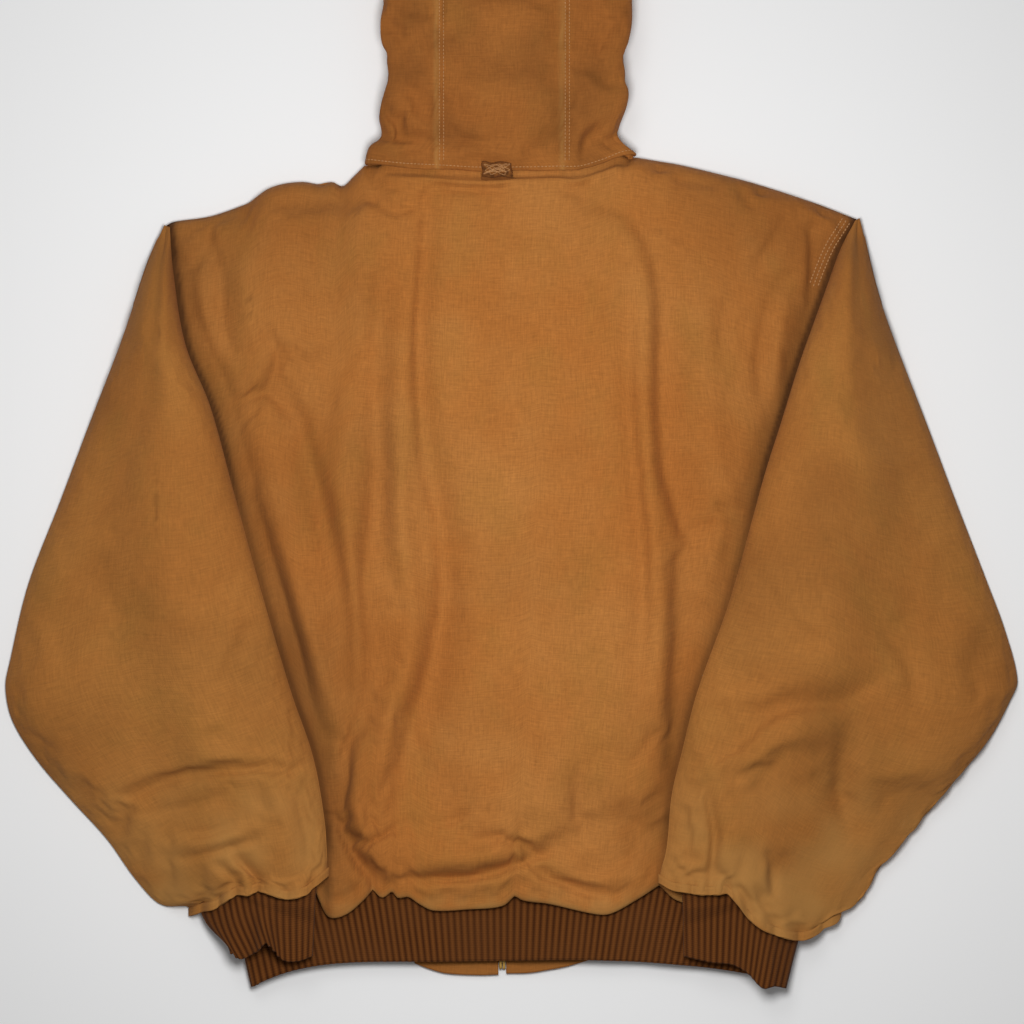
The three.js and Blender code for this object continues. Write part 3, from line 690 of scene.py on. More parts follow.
BODY_DUCK = duck("body_duck", srgb(179, 117, 57), srgb(172, 106, 47), srgb(163, 109, 49))
SLEEVE_DUCK = duck("sleeve_duck", srgb(168, 109, 50), srgb(160, 99, 43), srgb(150, 101, 44))
HOOD_DUCK = duck("hood_duck", srgb(161, 100, 45), srgb(153, 92, 40), srgb(143, 94, 41))
# The rib's two browns are one yarn: the lighter is painted light on its ridges, the darker painted shade in
# its grooves.
KNIT = rib_knit("rib_knit", srgb(110, 64, 26), srgb(62, 30, 9))
QUILT = smooth_cloth("quilted_lining", srgb(46, 42, 40), srgb(32, 29, 27))
TAPE = smooth_cloth("zip_tape", srgb(84, 56, 34), srgb(64, 42, 25), 0.6)
LABEL = smooth_cloth("label", srgb(222, 214, 196), srgb(198, 188, 168), 0.5)
BRASS = brass("zip_brass")
THREAD = thread("brown_thread", srgb(204, 150, 90), srgb(160, 108, 58))


# ---------------------------------------------------------------------------------------
# The back

# Folds of the back: path, width, height, lean
BACK_FOLDS = (
    ([(-65, -20), (-70, -112), (-73, -144), (-70, -239), (-62, -296)], 9, -4.0, 0.4),
    ([(-60, -280), (-52, -340), (-54, -386), (-65, -443), (-81, -500), (-92, -560)], 15, -5.0, 0.35),
    ([(-88, -140), (-90, -300), (-84, -400), (-100, -480), (-114, -560)], 11, 3.5, 0.0),
    ([(-105, -100), (-112, -188), (-112, -277), (-119, -366), (-116, -449), (-131, -500),
      (-138, -560)], 13, -5.5, 0.3),
    ([(-140, -200), (-138, -300), (-128, -380), (-126, -440)], 14, 3.5, 0.0),
    ([(-186, -205), (-165, -271), (-148, -335), (-138, -398), (-138, -490)], 13, -5.5, -0.2),
    ([(-205, -290), (-186, -350), (-168, -420), (-160, -480)], 14, 4.0, 0.0),
    ([(-263, -150), (-228, -265), (-201, -360), (-182, -424), (-163, -487), (-148, -560)], 15, -7.0, 0.0),
    ([(-138, -500), (-143, -557), (-132, -596), (-108, -628)], 7, -6.5, 0.4),
    ([(-124, -500), (-128, -550), (-116, -590), (-100, -612)], 9, 4.0, 0.0),
    ([(10, -60), (8, -200), (14, -400), (10, -560)], 60, 3.0, 0.0),
    ([(75, -36), (110, -46), (129, -77), (138, -131), (138, -201), (143, -265), (157, -316)], 14, -4.5, 0.35),
    ([(143, -265), (157, -316), (154, -386), (151, -449), (150, -520)], 14, -4.5, 0.2),
    ([(124, -110), (123, -200), (128, -300), (136, -400), (134, -480)], 10, 2.6, 0.0),
    ([(110, -120), (108, -188), (112, -252), (120, -328), (119, -405), (114, -470)], 8, -2.8, -0.3),
    ([(170, -130), (178, -220), (184, -300), (176, -370)], 16, 2.5, 0.0),
    ([(247, -44), (232, -70), (218, -92)], 7, -2.4, 0.3),
    ([(268, -58), (273, -112), (269, -160)], 5, -3.2, 0.4),
    ([(224, -102), (240, -104), (253, -98)], 6, -1.8, 0.3),
    ([(196, -118), (190, -140), (189, -170)], 8, -2.2, 0.0),
    ([(231, -118), (221, -163), (224, -205)], 8, -2.4, 0.3),
    ([(244, -120), (238, -165), (238, -210)], 8, 2.2, 0.0),
    ([(-271, -60), (-247, -88), (-243, -131), (-233, -164), (-212, -170)], 7, -2.8, 0.3),
    ([(-262, -90), (-258, -130), (-250, -170)], 7, 2.2, 0.0),
    ([(-224, -80), (-222, -120), (-214, -150)], 8, 2.2, 0.0),
    ([(-207, -140), (-193, -169), (-203, -200)], 7, -2.8, -0.3),
    ([(-231, -209), (-205, -203), (-182, -222)], 7, -2.2, 0.2),
    ([(-112, -34), (-92, -43), (-70, -36)], 6, -2.4, 0.4),
    ([(-118, -20), (-96, -28), (-88, -40)], 5, 1.6, 0.0),
    ([(-120, -589), (-104, -582), (-90, -573)], 4, -2.6, 0.5),
    ([(-60, -570), (-42, -566), (-27, -558)], 3.5, -1.8, 0.5),
    ([(-80, -622), (-40, -620), (2, -611), (40, -598)], 6, -4.6, 0.45),
    ([(-2, -583), (16, -590), (38, -600)], 4.5, -2.6, 0.4),
    ([(30, -613), (65, -630), (92, -636)], 6, -3.4, 0.4),
    ([(-60, -600), (-20, -598), (20, -586)], 10, 2.4, 0.0),
    ([(64, -515), (66, -550), (72, -580)], 9, -1.6, 0.2),
    ([(-4, -510), (0, -538)], 7, -1.2, 0.0),
    ([(36, -500), (33, -538)], 7, -1.4, 0.0),
    ([(110, -560), (118, -590), (128, -616)], 9, -2.0, 0.0),
)
# Puckers at the hem: X and length
GATHERS = (
    (-166, 26), (-113, 34), (-96, 30), (11, 26), (137, 34), (-75, 14),
    (-30, 9), (45, 12), (85, 8), (165, 14), (205, 12), (-200, 14),
)
FOLD_DEPTH = 2.0  # scale of all the folds' heights
HOLLOW = 9  # depth of the back beside a sleeve
BACK_LEAST = 15.5  # folds don't take the back lower than this
HEM_ROLL = 9  # radius of the roll where the cloth turns over the waistband


def gathered(x, y, marks, line_y, depth=3.0):
    """Short puckers that run up from a gathered seam at each mark: (x, length)."""
    out = 0 * x
    for centre, length in marks:
        up = np.clip((y - line_y) / length, 0, 1)
        out -= depth * np.exp(-(((x - centre) / (4 + 7 * up)) ** 2)) * (1 - up) ** 1.3
        for shift in (-9, 9):
            out += 0.5 * depth * np.exp(-(((x - centre - shift * (1 + up)) / 5) ** 2)) * (1 - up) ** 1.3
    return out


def roll_under(grid, line, low_z, steps=9):
    """Adds rows to a grid that turn its cloth under at its last row, down to low_z."""
    rows = []
    top = grid[-1]
    for k in range(1, steps + 1):
        a = math.pi * k / steps
        row = top.copy()
        row[:, :2] = lerp(line, top[:, :2], 1 - math.sin(a))
        row[:, 2] = lerp(low_z, top[:, 2], 0.5 + 0.5 * math.cos(a))
        rows.append(row)
    return np.concatenate([grid, np.array(rows)])


def beyond_sleeve(side, x, y):
    """How far a point lies in towards the middle from a sleeve's inner edge."""
    line = trace(SLEEVES[side]["inner"], 200)[::-1]
    return side * (np.interp(y, line[:, 1], line[:, 0]) - x)


def uncovered(x, y):
    """1 on the part of the back between the sleeves, falling to 0 under them."""
    return smooth(beyond_sleeve(LEFT, x, y) / 22) * smooth(beyond_sleeve(RIGHT, x, y) / 22)


def hollows(x, y, reach):
    """1 in the hollow that each sleeve presses into the back beside it, falling to 0 over reach."""
    near = [np.exp(-(((beyond_sleeve(side, x, y) - 2) / reach) ** 2)) for side in (LEFT, RIGHT)]
    return np.maximum(*near) * smooth((top_y(x) - y - 4) / 30) * smooth((y - hem_y(x) - 15) / 50)


def back_wrinkles(x, y):
    """Folds of the back, which fade out towards its edges and don't rise under a sleeve."""
    out = 0 * x
    for path, width, height, lean in BACK_FOLDS:
        out += FOLD_DEPTH * fold(x, y, path, width, height, lean)
    out += 0.9 * noise(x, y * 0.35, 34, 3) + 0.5 * noise(x, y * 0.5, 15, 4)
    out -= HOLLOW * hollows(x, y, 34)
    out *= smooth(inside(x, y) / 30) * smooth((top_y(x) - y) / 25)
    out = np.maximum(out, np.minimum(0, BACK_LEAST - back_z(x, y)))
    return np.where(out > 0, out * uncovered(x, y), out)


def back_flat(rows, columns):
    """The back's X and Y down to where its cloth turns under at the hem."""
    top = line_of((*SHOULDERS[LEFT], NECK, *SHOULDERS[RIGHT]), columns)
    hem = line_of(HEM, columns)
    top[:, 1] += 4 * smooth((110 - np.abs(top[:, 0])) / 10)
    inward = np.array([0, HEM_ROLL])
    left = trace(SIDE_EDGES[LEFT], rows)
    right = trace(SIDE_EDGES[RIGHT], rows)
    left = left + inward * np.linspace(0, 1, rows)[:, None] ** 6
    right = right + inward * np.linspace(0, 1, rows)[:, None] ** 6
    return patch(top, hem + inward, left, right), hem


def back_surface(flat):
    """The back's outer face, with its folds, puckers and the dip along the neck seam."""
    x, y = flat[..., 0], flat[..., 1]
    puckers = gathered(x, y, GATHERS, np.interp(x, HEM_LINE[:, 0], HEM_LINE[:, 1]))
    seam = -3.0 * np.exp(-(((top_y(x) - y) / 6) ** 2)) * (np.abs(x) < 118)
    z = back_z(x, y) + DUCK + back_wrinkles(x, y) + puckers * smooth(inside(x, y) / 20) + seam
    return np.dstack([x, y, z])


def make_back():
    """The back with the small buckles that a simulation gives its slack cloth."""
    coarse = back_surface(back_flat(84, 78)[0])
    x, y = coarse[..., 0], coarse[..., 1]
    held = np.full(x.shape, 0.03)
    held = np.maximum(held, 1 - smooth(np.minimum.reduce([inside(x, y), top_y(x) - y]) / 12))
    held[[0, -1]] = 1
    held[:, [0, -1]] = 1
    moved = settle(coarse, held, 0.4, 0.03, 6) - coarse
    moved[..., 2] = np.where(moved[..., 2] > 0, moved[..., 2] * uncovered(x, y), moved[..., 2])
    flat, hem = back_flat(int(640 / GRID), int(600 / GRID))
    still = back_surface(flat)
    out = still + finer(moved, *flat.shape[:2])
    out[..., 2] = np.maximum(out[..., 2], np.minimum(still[..., 2], BACK_LEAST + DUCK))
    return out, hem


def back_soil_and_shade(x, y):
    """Dirt and painted shade on the back: darker over the shoulders and down the left side, partly dirt and
    partly painted shade, with painted shadow in the hollows beside the sleeves and along their inner edges.
    """
    high = 1 - smooth((top_y(x) - y) / 150)
    low_left = smooth((-x - 90) / 70) * smooth((-y - 300) / 200)
    patches = np.clip(noise(x, y, 60, 7), 0, 1)
    sides = smooth((np.abs(x - 20) - 90) / 90)
    spots = np.exp(-(((x + 219) / 3) ** 2 + ((y + 122) / 12) ** 2)) * (noise(x, y, 3, 8) > 0)
    # Darker towards the shoulders, the sides and the lower left: partly dirt, partly painted shade; the noise
    # patches are dirt.
    shade = 0.10 * patches + 0.12 * high * sides + 0.10 * low_left + 0.04 * high + 0.08 * sides
    # A painted shadow along each sleeve's inner edge, darkest towards the shoulders.
    gap = np.minimum(np.abs(beyond_sleeve(LEFT, x, y)), np.abs(beyond_sleeve(RIGHT, x, y)))
    gap = np.exp(-((gap / 4.5) ** 2)) * lerp(0.35, 0.85, smooth((y + 330) / 120))
    # hollows() adds painted shade in the hollow that each sleeve presses into the back; the spots are dirt.
    return np.clip(shade + 0.22 * hollows(x, y, 16) + 0.35 * spots + gap, 0, 0.9)


back_grid, back_hem = make_back()
back_grid = roll_under(back_grid, back_hem, BAND_TOP + 1.2)
bx, by = back_grid[..., 0], back_grid[..., 1]
hem_near = np.exp(-(((by - hem_y(bx)) / 14) ** 2))
# A thin lighter rim along the hem's roll: a painted highlight, added to the wear near the hem.
hem_rim_highlight = np.exp(-(((by - np.interp(bx, HEM_LINE[:, 0], HEM_LINE[:, 1]) - 1) / 2.5) ** 2))
back = sheet(
    "jacket_back", back_grid, DUCK, BODY_DUCK,
    marks={
        "wear_and_highlight": 0.4 * hem_near * np.clip(0.6 + noise(bx, by, 9, 6), 0, 1) + 0.4 * hem_rim_highlight,
        "soil_and_shade": back_soil_and_shade(bx, by),
    },
)
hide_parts("back_panel")
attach(back, "root")


# ---------------------------------------------------------------------------------------
# Sleeves and cuffs

SLEEVE_LOFT = 38  # greatest distance between a sleeve's layers
SLEEVE_ROLL = 8  # radius of the roll over a cuff
CUFF_THICK = 14
TIP_SHARE = 0.07  # of a sleeve's length that comes down to the shoulder seam
TIP_DROP = 4.5


def sleeve_height(s, v):
    """How far a sleeve's two layers stand apart at s across (-1 to 1) and v along (0 to 1)."""
    high = lerp(SLEEVE_LOFT, 22, smooth((v - 0.62) / 0.38))
    return high * rise(0.1 + v / 0.2) * (1 - np.abs(s) ** 2.3) ** 0.62


def blurred(grid, reach):
    """A grid smoothed over reach points each way."""
    kernel = np.hanning(2 * reach + 3)[1:-1]
    kernel /= kernel.sum()
    for _ in range(2):
        padded = np.concatenate([np.repeat(grid[:1], reach, 0), grid, np.repeat(grid[-1:], reach, 0)])
        grid = sum(w * padded[k : k + len(grid)] for k, w in enumerate(kernel)).T
    return grid


def sleeve_layers(side, share, v):
    """Both layers of a sleeve on a grid: their X and Y, and the height of each outer face."""
    shape = SLEEVES[side]
    at = lambda line, t: np.stack([np.interp(t, np.linspace(0, 1, len(line)), line[:, k]) for k in (0, 1)], 1)
    outer, inner = at(trace(shape["outer"], 600), v), at(trace(shape["inner"], 600), v)
    end_line = line_of(shape["end"], 600)
    end = at(end_line, share)
    top = at(np.array([shape["outer"][0], shape["inner"][0]], float), share)
    last_outer, last_inner = end_line[0], end_line[-1]
    u = share[None, :, None]
    t = v[:, None, None]
    flat = lerp(outer[:, None], inner[:, None], u) + lerp(top[None], end[None], t)
    flat = flat - lerp(lerp(top[0], top[-1], u), lerp(last_outer, last_inner, u), t)
    s = (2 * share - 1)[None]
    x, y = flat[..., 0], flat[..., 1]
    base = ground_z(x, y)
    wrinkles = 0 * x
    for path, width, height, lean in shape["folds"]:
        wrinkles += FOLD_DEPTH * fold(x, y, path, width, height, lean)
    wrinkles += 1.0 * noise(x * 0.6, y * 0.5, 40, 11 + side) + 0.5 * noise(x, y * 0.7, 16, 15 + side)
    end_y = np.interp(x, *end_line[np.argsort(end_line[:, 0])].T)
    wrinkles += gathered(x, y, shape["gathers"], end_y, 3.4)
    calm = (1 - np.abs(s) ** 6) * smooth(v[:, None] / 0.1)
    low = base + DUCK
    resting = np.maximum(blurred(base, 12), base - 6)
    high = np.maximum(low + 3 * (1 - s**2), resting + DUCK + sleeve_height(s, v[:, None]))
    return flat, low, high + calm * wrinkles, end


def make_sleeve(side):
    """The ring grid of a sleeve's shell, turned in at the cuff."""
    # Columns crowd towards the two folded edges.
    crowd = lambda count: 0.5 - 0.5 * np.cos(np.pi * np.linspace(0, 1, count))
    share = crowd(110)
    v = np.linspace(0, 1, int(600 / GRID))
    flat, z_low, z_top, end = sleeve_layers(side, share, v)
    coarse_share, coarse_v = crowd(42), np.linspace(0, 1, 80)
    coarse_flat, _, coarse_top, _ = sleeve_layers(side, coarse_share, coarse_v)
    coarse = np.dstack([coarse_flat, coarse_top])
    held = np.full(coarse_top.shape, 0.03)
    held = np.maximum(held, np.abs(2 * coarse_share - 1)[None] ** 12)
    held = np.maximum(held, 1 - smooth(coarse_v[:, None] / 0.2))
    held[[0, -1]] = 1
    moved = finer(settle(coarse, held, 0.3, 0.035, 6) - coarse, *z_top.shape)
    moved[..., 2] = np.maximum(moved[..., 2], -2.5)
    moved *= lerp(0.3, 1, smooth((v - 0.45) / 0.3))[:, None, None]
    moved = moved * (1 - np.abs(2 * share - 1)[None, :, None] ** 8)
    top_flat = flat + moved[..., :2]
    z_top = np.maximum(z_top + moved[..., 2], z_low + 2.5 * (1 - (2 * share - 1) ** 2))
    # At the shoulder the two layers come together and down to the seam.
    seam = (1 - smooth(v / TIP_SHARE))[:, None]
    z_top = z_top - seam * 0.85 * (z_top - z_low - 3)
    z_low, z_top = z_low - TIP_DROP * seam, z_top - TIP_DROP * seam
    middle = (z_top[:, [0, -1]] + z_low[:, [0, -1]]) / 2
    z_top[:, [0, -1]] = middle
    z_low[:, [0, -1]] = middle
    # The roll at the cuff draws both layers in.
    squeeze = smooth((v - 0.93) / 0.07)[:, None, None] ** 2 * np.array([0, SLEEVE_ROLL])
    flat, top_flat = flat + squeeze, top_flat + squeeze
    mid = (z_top[-1] + z_low[-1]) / 2
    within = (CUFF_THICK / 2 + DUCK + 0.6) * (1 - np.abs(2 * share - 1) ** 6)
    upper = roll_under(np.dstack([top_flat, z_top]), end, np.minimum(z_top[-1], mid + within))
    lower = roll_under(np.dstack([flat, z_low]), end, np.maximum(z_low[-1], mid - within))
    return ring_of(upper, lower), end


def blend_sleeve(made):
    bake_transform(made)


for side in (LEFT, RIGHT):
    ring, end = make_sleeve(side)
    x, y = ring[..., 0], ring[..., 1]
    low = smooth((-y - 470) / 170)
    edge = np.clip(np.abs(y - np.mean(end[:, 1])) / 16, 0, 1)
    scuff = np.exp(-(((x + 298) / 1.6) ** 2 + ((y + 296) / 24) ** 2)) * (noise(x, y, 6, 23) > -0.2)
    sleeve = sheet(
        "jacket_sleeve_" + NAMES[side], ring, DUCK, SLEEVE_DUCK, ring=True,
        marks={
            "wear_and_highlight": np.clip(0.10 + low * (0.30 + 0.35 * noise(x, y, 24, 21)) + 0.3 * (1 - edge), 0, 0.7),
            "soil_and_shade": 0.25 * (1 - low) * np.clip(noise(x, y, 70, 22), 0, 1) + 0.4 * scuff,
        },
    )
    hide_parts(f"sleeve_{NAMES[side]}_top", f"sleeve_{NAMES[side]}_under")
    blend_sleeve(sleeve)


def ribs(u, depth=0.9):
    """Height of rib knit at distance u along its course, and 0 to 1 for groove to ridge."""
    wave = 0.5 + 0.5 * np.cos(2 * np.pi * u / RIB_PITCH)
    return depth * (wave**0.7 - 1), wave**0.7


# Outlines of the cuffs, and the arch in each one's mouth: X, width, height
CUFFS = {
    LEFT: {
        "start": [(-268, -642), (-212, -620), (-160, -612)],
        "end": [(-240, -678), (-228, -690), (-214, -683), (-205, -675), (-199, -680), (-190, -691),
                (-178, -692), (-165, -688)],
        "left": [(-268, -642), (-258, -662), (-240, -678)],
        "right": [(-160, -612), (-163, -650), (-165, -688)],
        "arch": (-206, 9, 11),
    },
    RIGHT: {
        "start": [(155, -612), (215, -632), (268, -655)],
        "end": [(158, -688), (182, -693), (200, -695), (213, -702), (226, -715), (237, -714), (248, -717)],
        "left": [(155, -612), (157, -650), (158, -688)],
        "right": [(268, -655), (259, -676), (248, -717)],
        "arch": (228, 8, 3),
    },
}


def make_cuff(side):
    shape = CUFFS[side]
    half, rows = 200, 34
    spots = [trace(shape[k], half) for k in ("start", "end")]
    sides = [trace(shape[k], rows) for k in ("left", "right")]
    flat = patch(spots[0], spots[1], sides[0], sides[1])
    x, y = flat[..., 0], flat[..., 1]
    u = np.linspace(-1, 1, half)[None]
    v = np.linspace(0, 1, rows)[:, None]
    base = ground_z(x, y)
    round_ = (1 - np.abs(u) ** 5) ** 0.5
    centre, width, height = shape["arch"]
    arch = height * np.exp(-(((x - centre) / width) ** 2)) * smooth(v * 1.2)
    high = CUFF_THICK * round_
    along = np.cumsum(np.linalg.norm(np.diff(flat[rows // 2], axis=0), axis=1))
    lift, ridge = ribs(np.r_[0, along][None])
    upper = np.dstack([x, y, base + CUFF_THICK / 2 + high / 2 + arch + lift * round_])
    lower = np.dstack([x, y, base + CUFF_THICK / 2 - high / 2 - lift * round_ * 0.5])
    ring = ring_of(upper, lower)
    marks = ring_of(ridge, ridge) * np.ones((rows, 1))
    made = sheet("rib_cuff_" + NAMES[side], ring, RIB * 0.7, KNIT, ring=True, marks={"ridge": marks})
    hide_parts("cuff_" + NAMES[side])
    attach(made, "sleeve_" + NAMES[side])


for side in (LEFT, RIGHT):
    make_cuff(side)


# ---------------------------------------------------------------------------------------
# Waistband

BAND_FRONT = 78  # from the zip to the front ends of the rib


def make_band():
    """The rib's outer face, from one front end round the back to the other, and its ridges."""
    low, high, half = FRONT_Z, BAND_TOP, BAND_HALF
    radius = (high - low) / 2
    turn = np.linspace(0, math.pi, 40)[1:-1]
    fine = RIB_PITCH / 9
    straight = np.arange(-half + radius, half - radius, fine)
    front = np.arange(BAND_FRONT, half - radius, fine)
    x = np.r_[-front, -half + radius - radius * np.sin(turn), straight,
              (half - radius + radius * np.sin(turn)), front[::-1]]
    middle = low + radius
    z = np.r_[0 * front + low, middle - radius * np.cos(turn), 0 * straight + high,
              middle + radius * np.cos(turn), 0 * front + low]
    u = np.r_[0, np.cumsum(np.hypot(np.diff(x), np.diff(z)))]
    lift, ridge = ribs(u)
    rows = 26
    v = np.linspace(0, 1, rows)[:, None]
    spread = lerp(1.06, 0.965, v)
    grid_x = x[None] * spread
    under = smooth((z - low) / (high - low))
    top = hem_y(x) - 0.6 + 15 * under
    droop = np.where(x < 0, 24 * np.abs(x / half) ** 5, 12 * np.abs(x / half) ** 4)
    foot = -693.5 - droop + 0.8 * np.sin(x / 40)
    grid_y = lerp(top, foot, v)
    puff = np.sign(z - middle) * 1.2 * noise(grid_x, grid_y, 30, 31)
    grid_z = z[None] + puff * (np.abs(z - middle) > radius * 0.9)
    # The rib is pressed down where the back's low sides lie on it.
    beside = 2.2 * smooth((np.abs(grid_x) - 175) / 25) + 1.5 * smooth((np.abs(grid_x) - 212) / 16)
    grid_z = grid_z - under * beside * smooth((grid_y - hem_y(grid_x)) / 5)
    outer = np.dstack([grid_x, grid_y, grid_z])
    outward = normals(outer) * (-1 if faces_away(outer, "out") else 1)
    return outer + outward * lift[None, :, None], np.broadcast_to(ridge[None], (rows, len(x)))


band_grid, band_ridge = make_band()
band = sheet("rib_waistband", band_grid, RIB, KNIT, marks={"ridge": band_ridge}, facing="out")
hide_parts("waistband")
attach(band, "root")


# ---------------------------------------------------------------------------------------
# Hood

HOOD_TOP = 338
MOUTH_HALF = 28  # half the width of the face opening
MOUTH_ROUND = 250  # the face opening narrows past this Y
HOOD_SIDES = {
    LEFT: [(-120, 0), (-116, 14), (-109, 21), (-107, 28), (-108, 40), (-105, 56), (-101, 74),
           (-101, 91), (-104, 108), (-104, 125), (-103, 143), (-106, 200), (-104, 250),
           (-92, 300), (-74, 330), (-50, 338)],
    RIGHT: [(116, 0), (107, 9), (101, 18), (102, 28), (107, 42), (109, 56),
            (107, 73), (106, 91), (109, 108), (111, 125),
            (111, 143), (110, 200), (107, 250), (94, 300), (74, 330), (50, 338)],
}
HOOD_SEAMS = (-57, 52)
HOOD_FOLDS = (
    ([(-112, 30), (-100, 24), (-84, 22), (-62, 20)], 5, -2.8, 0.4),
    ([(-104, 52), (-92, 36), (-88, 20)], 6, -3.2, 0.3),
    ([(-86, 60), (-80, 40), (-66, 30)], 7, 2.0, 0.0),
    ([(-92, 8), (-80, 6), (-62, 5)], 4, -1.4, 0.3),
    ([(-40, 22), (-30, 19), (-15, 15)], 4, -1.8, 0.4),
    ([(-42, 6), (-28, 14), (-10, 10)], 7, 1.2, 0.0),
    ([(84, 34), (74, 24), (70, 8)], 6, -3.6, 0.3),
    ([(104, 30), (92, 22), (84, 26)], 6, -3.0, 0.3),
    ([(66, 60), (68, 36), (62, 12)], 7, 2.2, 0.0),
    ([(-48, 90), (-20, 76)], 8, -1.2, 0.0),
    ([(-95, 125), (-88, 110), (-84, 92)], 8, -1.8, 0.0),
    ([(88, 120), (84, 100), (86, 80)], 9, -1.6, 0.0),
    ([(-20, 130), (0, 110), (10, 60)], 16, 1.2, 0.0),
)


def hood_edges(y):
    """X of the hood's left and right edge."""
    left = trace(HOOD_SIDES[LEFT], 200)
    right = trace(HOOD_SIDES[RIGHT], 200)
    return np.interp(y, left[:, 1], left[:, 0]), np.interp(y, right[:, 1], right[:, 0])


def hood_high(y):
    """Height of the hood's top over its floor."""
    crown = np.clip((y - 255) / 83, 0, 1)
    return lerp(31.5, 44, rise(y / 60)) * np.sqrt(np.clip(1 - 0.93 * crown**2.4, 0, 1))


def make_hood(inset=0.0, columns=200, rows=130):
    """The hood's outer face from one edge of the face opening over the top to the other."""
    v = np.linspace(0, 1, rows)
    y = lerp(0, HOOD_TOP - inset, v**0.94)
    left, right = hood_edges(y)
    left, right = left + inset, right - inset
    narrowed = MOUTH_HALF * np.sqrt(np.clip(1 - ((y - MOUTH_ROUND) / 84) ** 2, 0, 1)) + 0.4
    opening = np.where(y < MOUTH_ROUND, MOUTH_HALF, narrowed) + inset
    centre, half = (left + right) / 2, (right - left) / 2
    gap = np.arcsin(np.clip(opening / half, 0, 0.98) ** (1 / 0.62))
    a = lerp(-(np.pi - gap)[:, None], (np.pi - gap)[:, None], np.linspace(0, 1, columns)[None])
    sin = np.sign(a) * np.abs(np.sin(a)) ** 0.62
    cos = np.sign(np.cos(a)) * np.abs(np.cos(a)) ** 0.62
    high = hood_high(y)[:, None] / 2
    x = centre[:, None] + half[:, None] * sin
    z = FRONT_Z + high + (high - inset) * cos
    grid_y = y[:, None] + 0 * x
    # Its foot follows the neck seam on top and the neckline on the floor.
    neck = np.interp(x, *np.array(NECK).T) + 2.4
    on_floor = smooth((np.abs(a) - (2.1 if inset else 1.75)) / 0.5)
    foot = lerp(neck + 0.8 * inset, neckline_y(x) + 1, on_floor)
    grid_y = grid_y + foot * (1 - smooth(grid_y / 120)) + 0 * x
    upper = np.clip(np.cos(a) * 3, 0, 1)
    wrinkles = 0 * x
    for path, width, height, lean in HOOD_FOLDS:
        wrinkles += 1.8 * fold(x, grid_y, path, width, height, lean)
    wrinkles += 0.8 * noise(x, grid_y, 30, 41) + 0.5 * noise(x, grid_y, 12, 42)
    if not inset:
        for seam in HOOD_SEAMS:
            wrinkles += 1.1 * np.exp(-(((x - seam) / 1.6) ** 2))
            wrinkles -= 0.9 * np.exp(-(((x - seam - 4) / 1.4) ** 2))
            wrinkles += 0.7 * np.exp(-(((x - seam - 8) / 1.3) ** 2))
    z = z + upper * wrinkles * smooth((HOOD_TOP - grid_y) / 30)
    return np.dstack([x, grid_y, z])


def start_roll(grid, radius, drop, steps=5):
    """Rows before the first that turn the cloth's edge down and back."""
    first, second = grid[0], grid[1]
    way = first - second
    way /= np.linalg.norm(way, axis=1, keepdims=True) + 1e-9
    n = normals(grid)[0]
    rows = []
    for k in range(steps, 0, -1):
        a = math.pi * k / steps
        rows.append(first + way * radius * math.sin(a) - n * drop * (1 - math.cos(a)) / 2)
    return np.concatenate([np.array(rows), grid])


def close_end(grid, bulge, steps=7):
    """Rows past the last that bring its upper and lower side together."""
    last = grid[-1]
    middle = (last[:, 2].min() + last[:, 2].max()) / 2
    rows = []
    for k in range(1, steps + 1):
        a = 1.5 * k / steps
        x = last[:, 0] * (1 - 0.04 * (1 - math.cos(a)))
        z = middle + (last[:, 2] - middle) * math.cos(a)
        rows.append(np.stack([x, last[:, 1] + bulge * math.sin(a), z], 1))
    return np.concatenate([grid, np.array(rows)])


def blend_hood(made):
    """Bakes a piece's placement into its mesh."""
    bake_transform(made)


def buckled_hood():
    """The hood with small buckles in its slack cloth."""
    coarse = make_hood(0.0, 74, 50)
    held = np.full(coarse.shape[:2], 0.04)
    held[[0, -1]] = 1
    held[:, [0, -1]] = 1
    for seam in HOOD_SEAMS:
        held = np.maximum(held, 0.7 * np.exp(-(((coarse[..., 0] - seam) / 4) ** 2)) * (coarse[..., 2] > 20))
    moved = settle(coarse, held, 0.3, 0.03, 4, "out") - coarse
    moved *= smooth((coarse[..., 2:] - 8) / 12)
    fine = make_hood()
    return fine + finer(moved, *fine.shape[:2])


hood_grid = buckled_hood()
hood_rolled = close_end(start_roll(hood_grid, 2.2, 2.6), 5)
hx, hy = hood_rolled[..., 0], hood_rolled[..., 1]
hood = sheet(
    "jacket_hood", hood_rolled, DUCK, HOOD_DUCK, facing="out",
    marks={
        "wear_and_highlight": 0.5 * np.exp(-(((hx + 57) / 1.8) ** 2)) + 0.5 * np.exp(-(((hx - 52) / 1.8) ** 2)),
        "soil_and_shade": 0.3 * np.clip(noise(hx, hy, 26, 43), 0, 1),
    },
)
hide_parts("hood_centre_panel", "hood_side_left", "hood_side_right")


# ---------------------------------------------------------------------------------------
# Seams: thread on the shell


ARMHOLE = [(307, -50), (293, -72), (284, -92), (278, -108)]


def offset_path(path, distance):
    """A flat path moved to its left."""
    way = np.gradient(path, axis=0)
    way /= np.linalg.norm(way, axis=1, keepdims=True)
    return path + distance * np.stack([-way[:, 1], way[:, 0]], 1)


def sew(name, surface, flat_path, away=0.0, **thread_size):
    """A row of stitches along a path on a piece."""
    path = on_surface(surface, offset_path(trace(flat_path, 120), away))
    return stitches(name, path, THREAD, **thread_size)


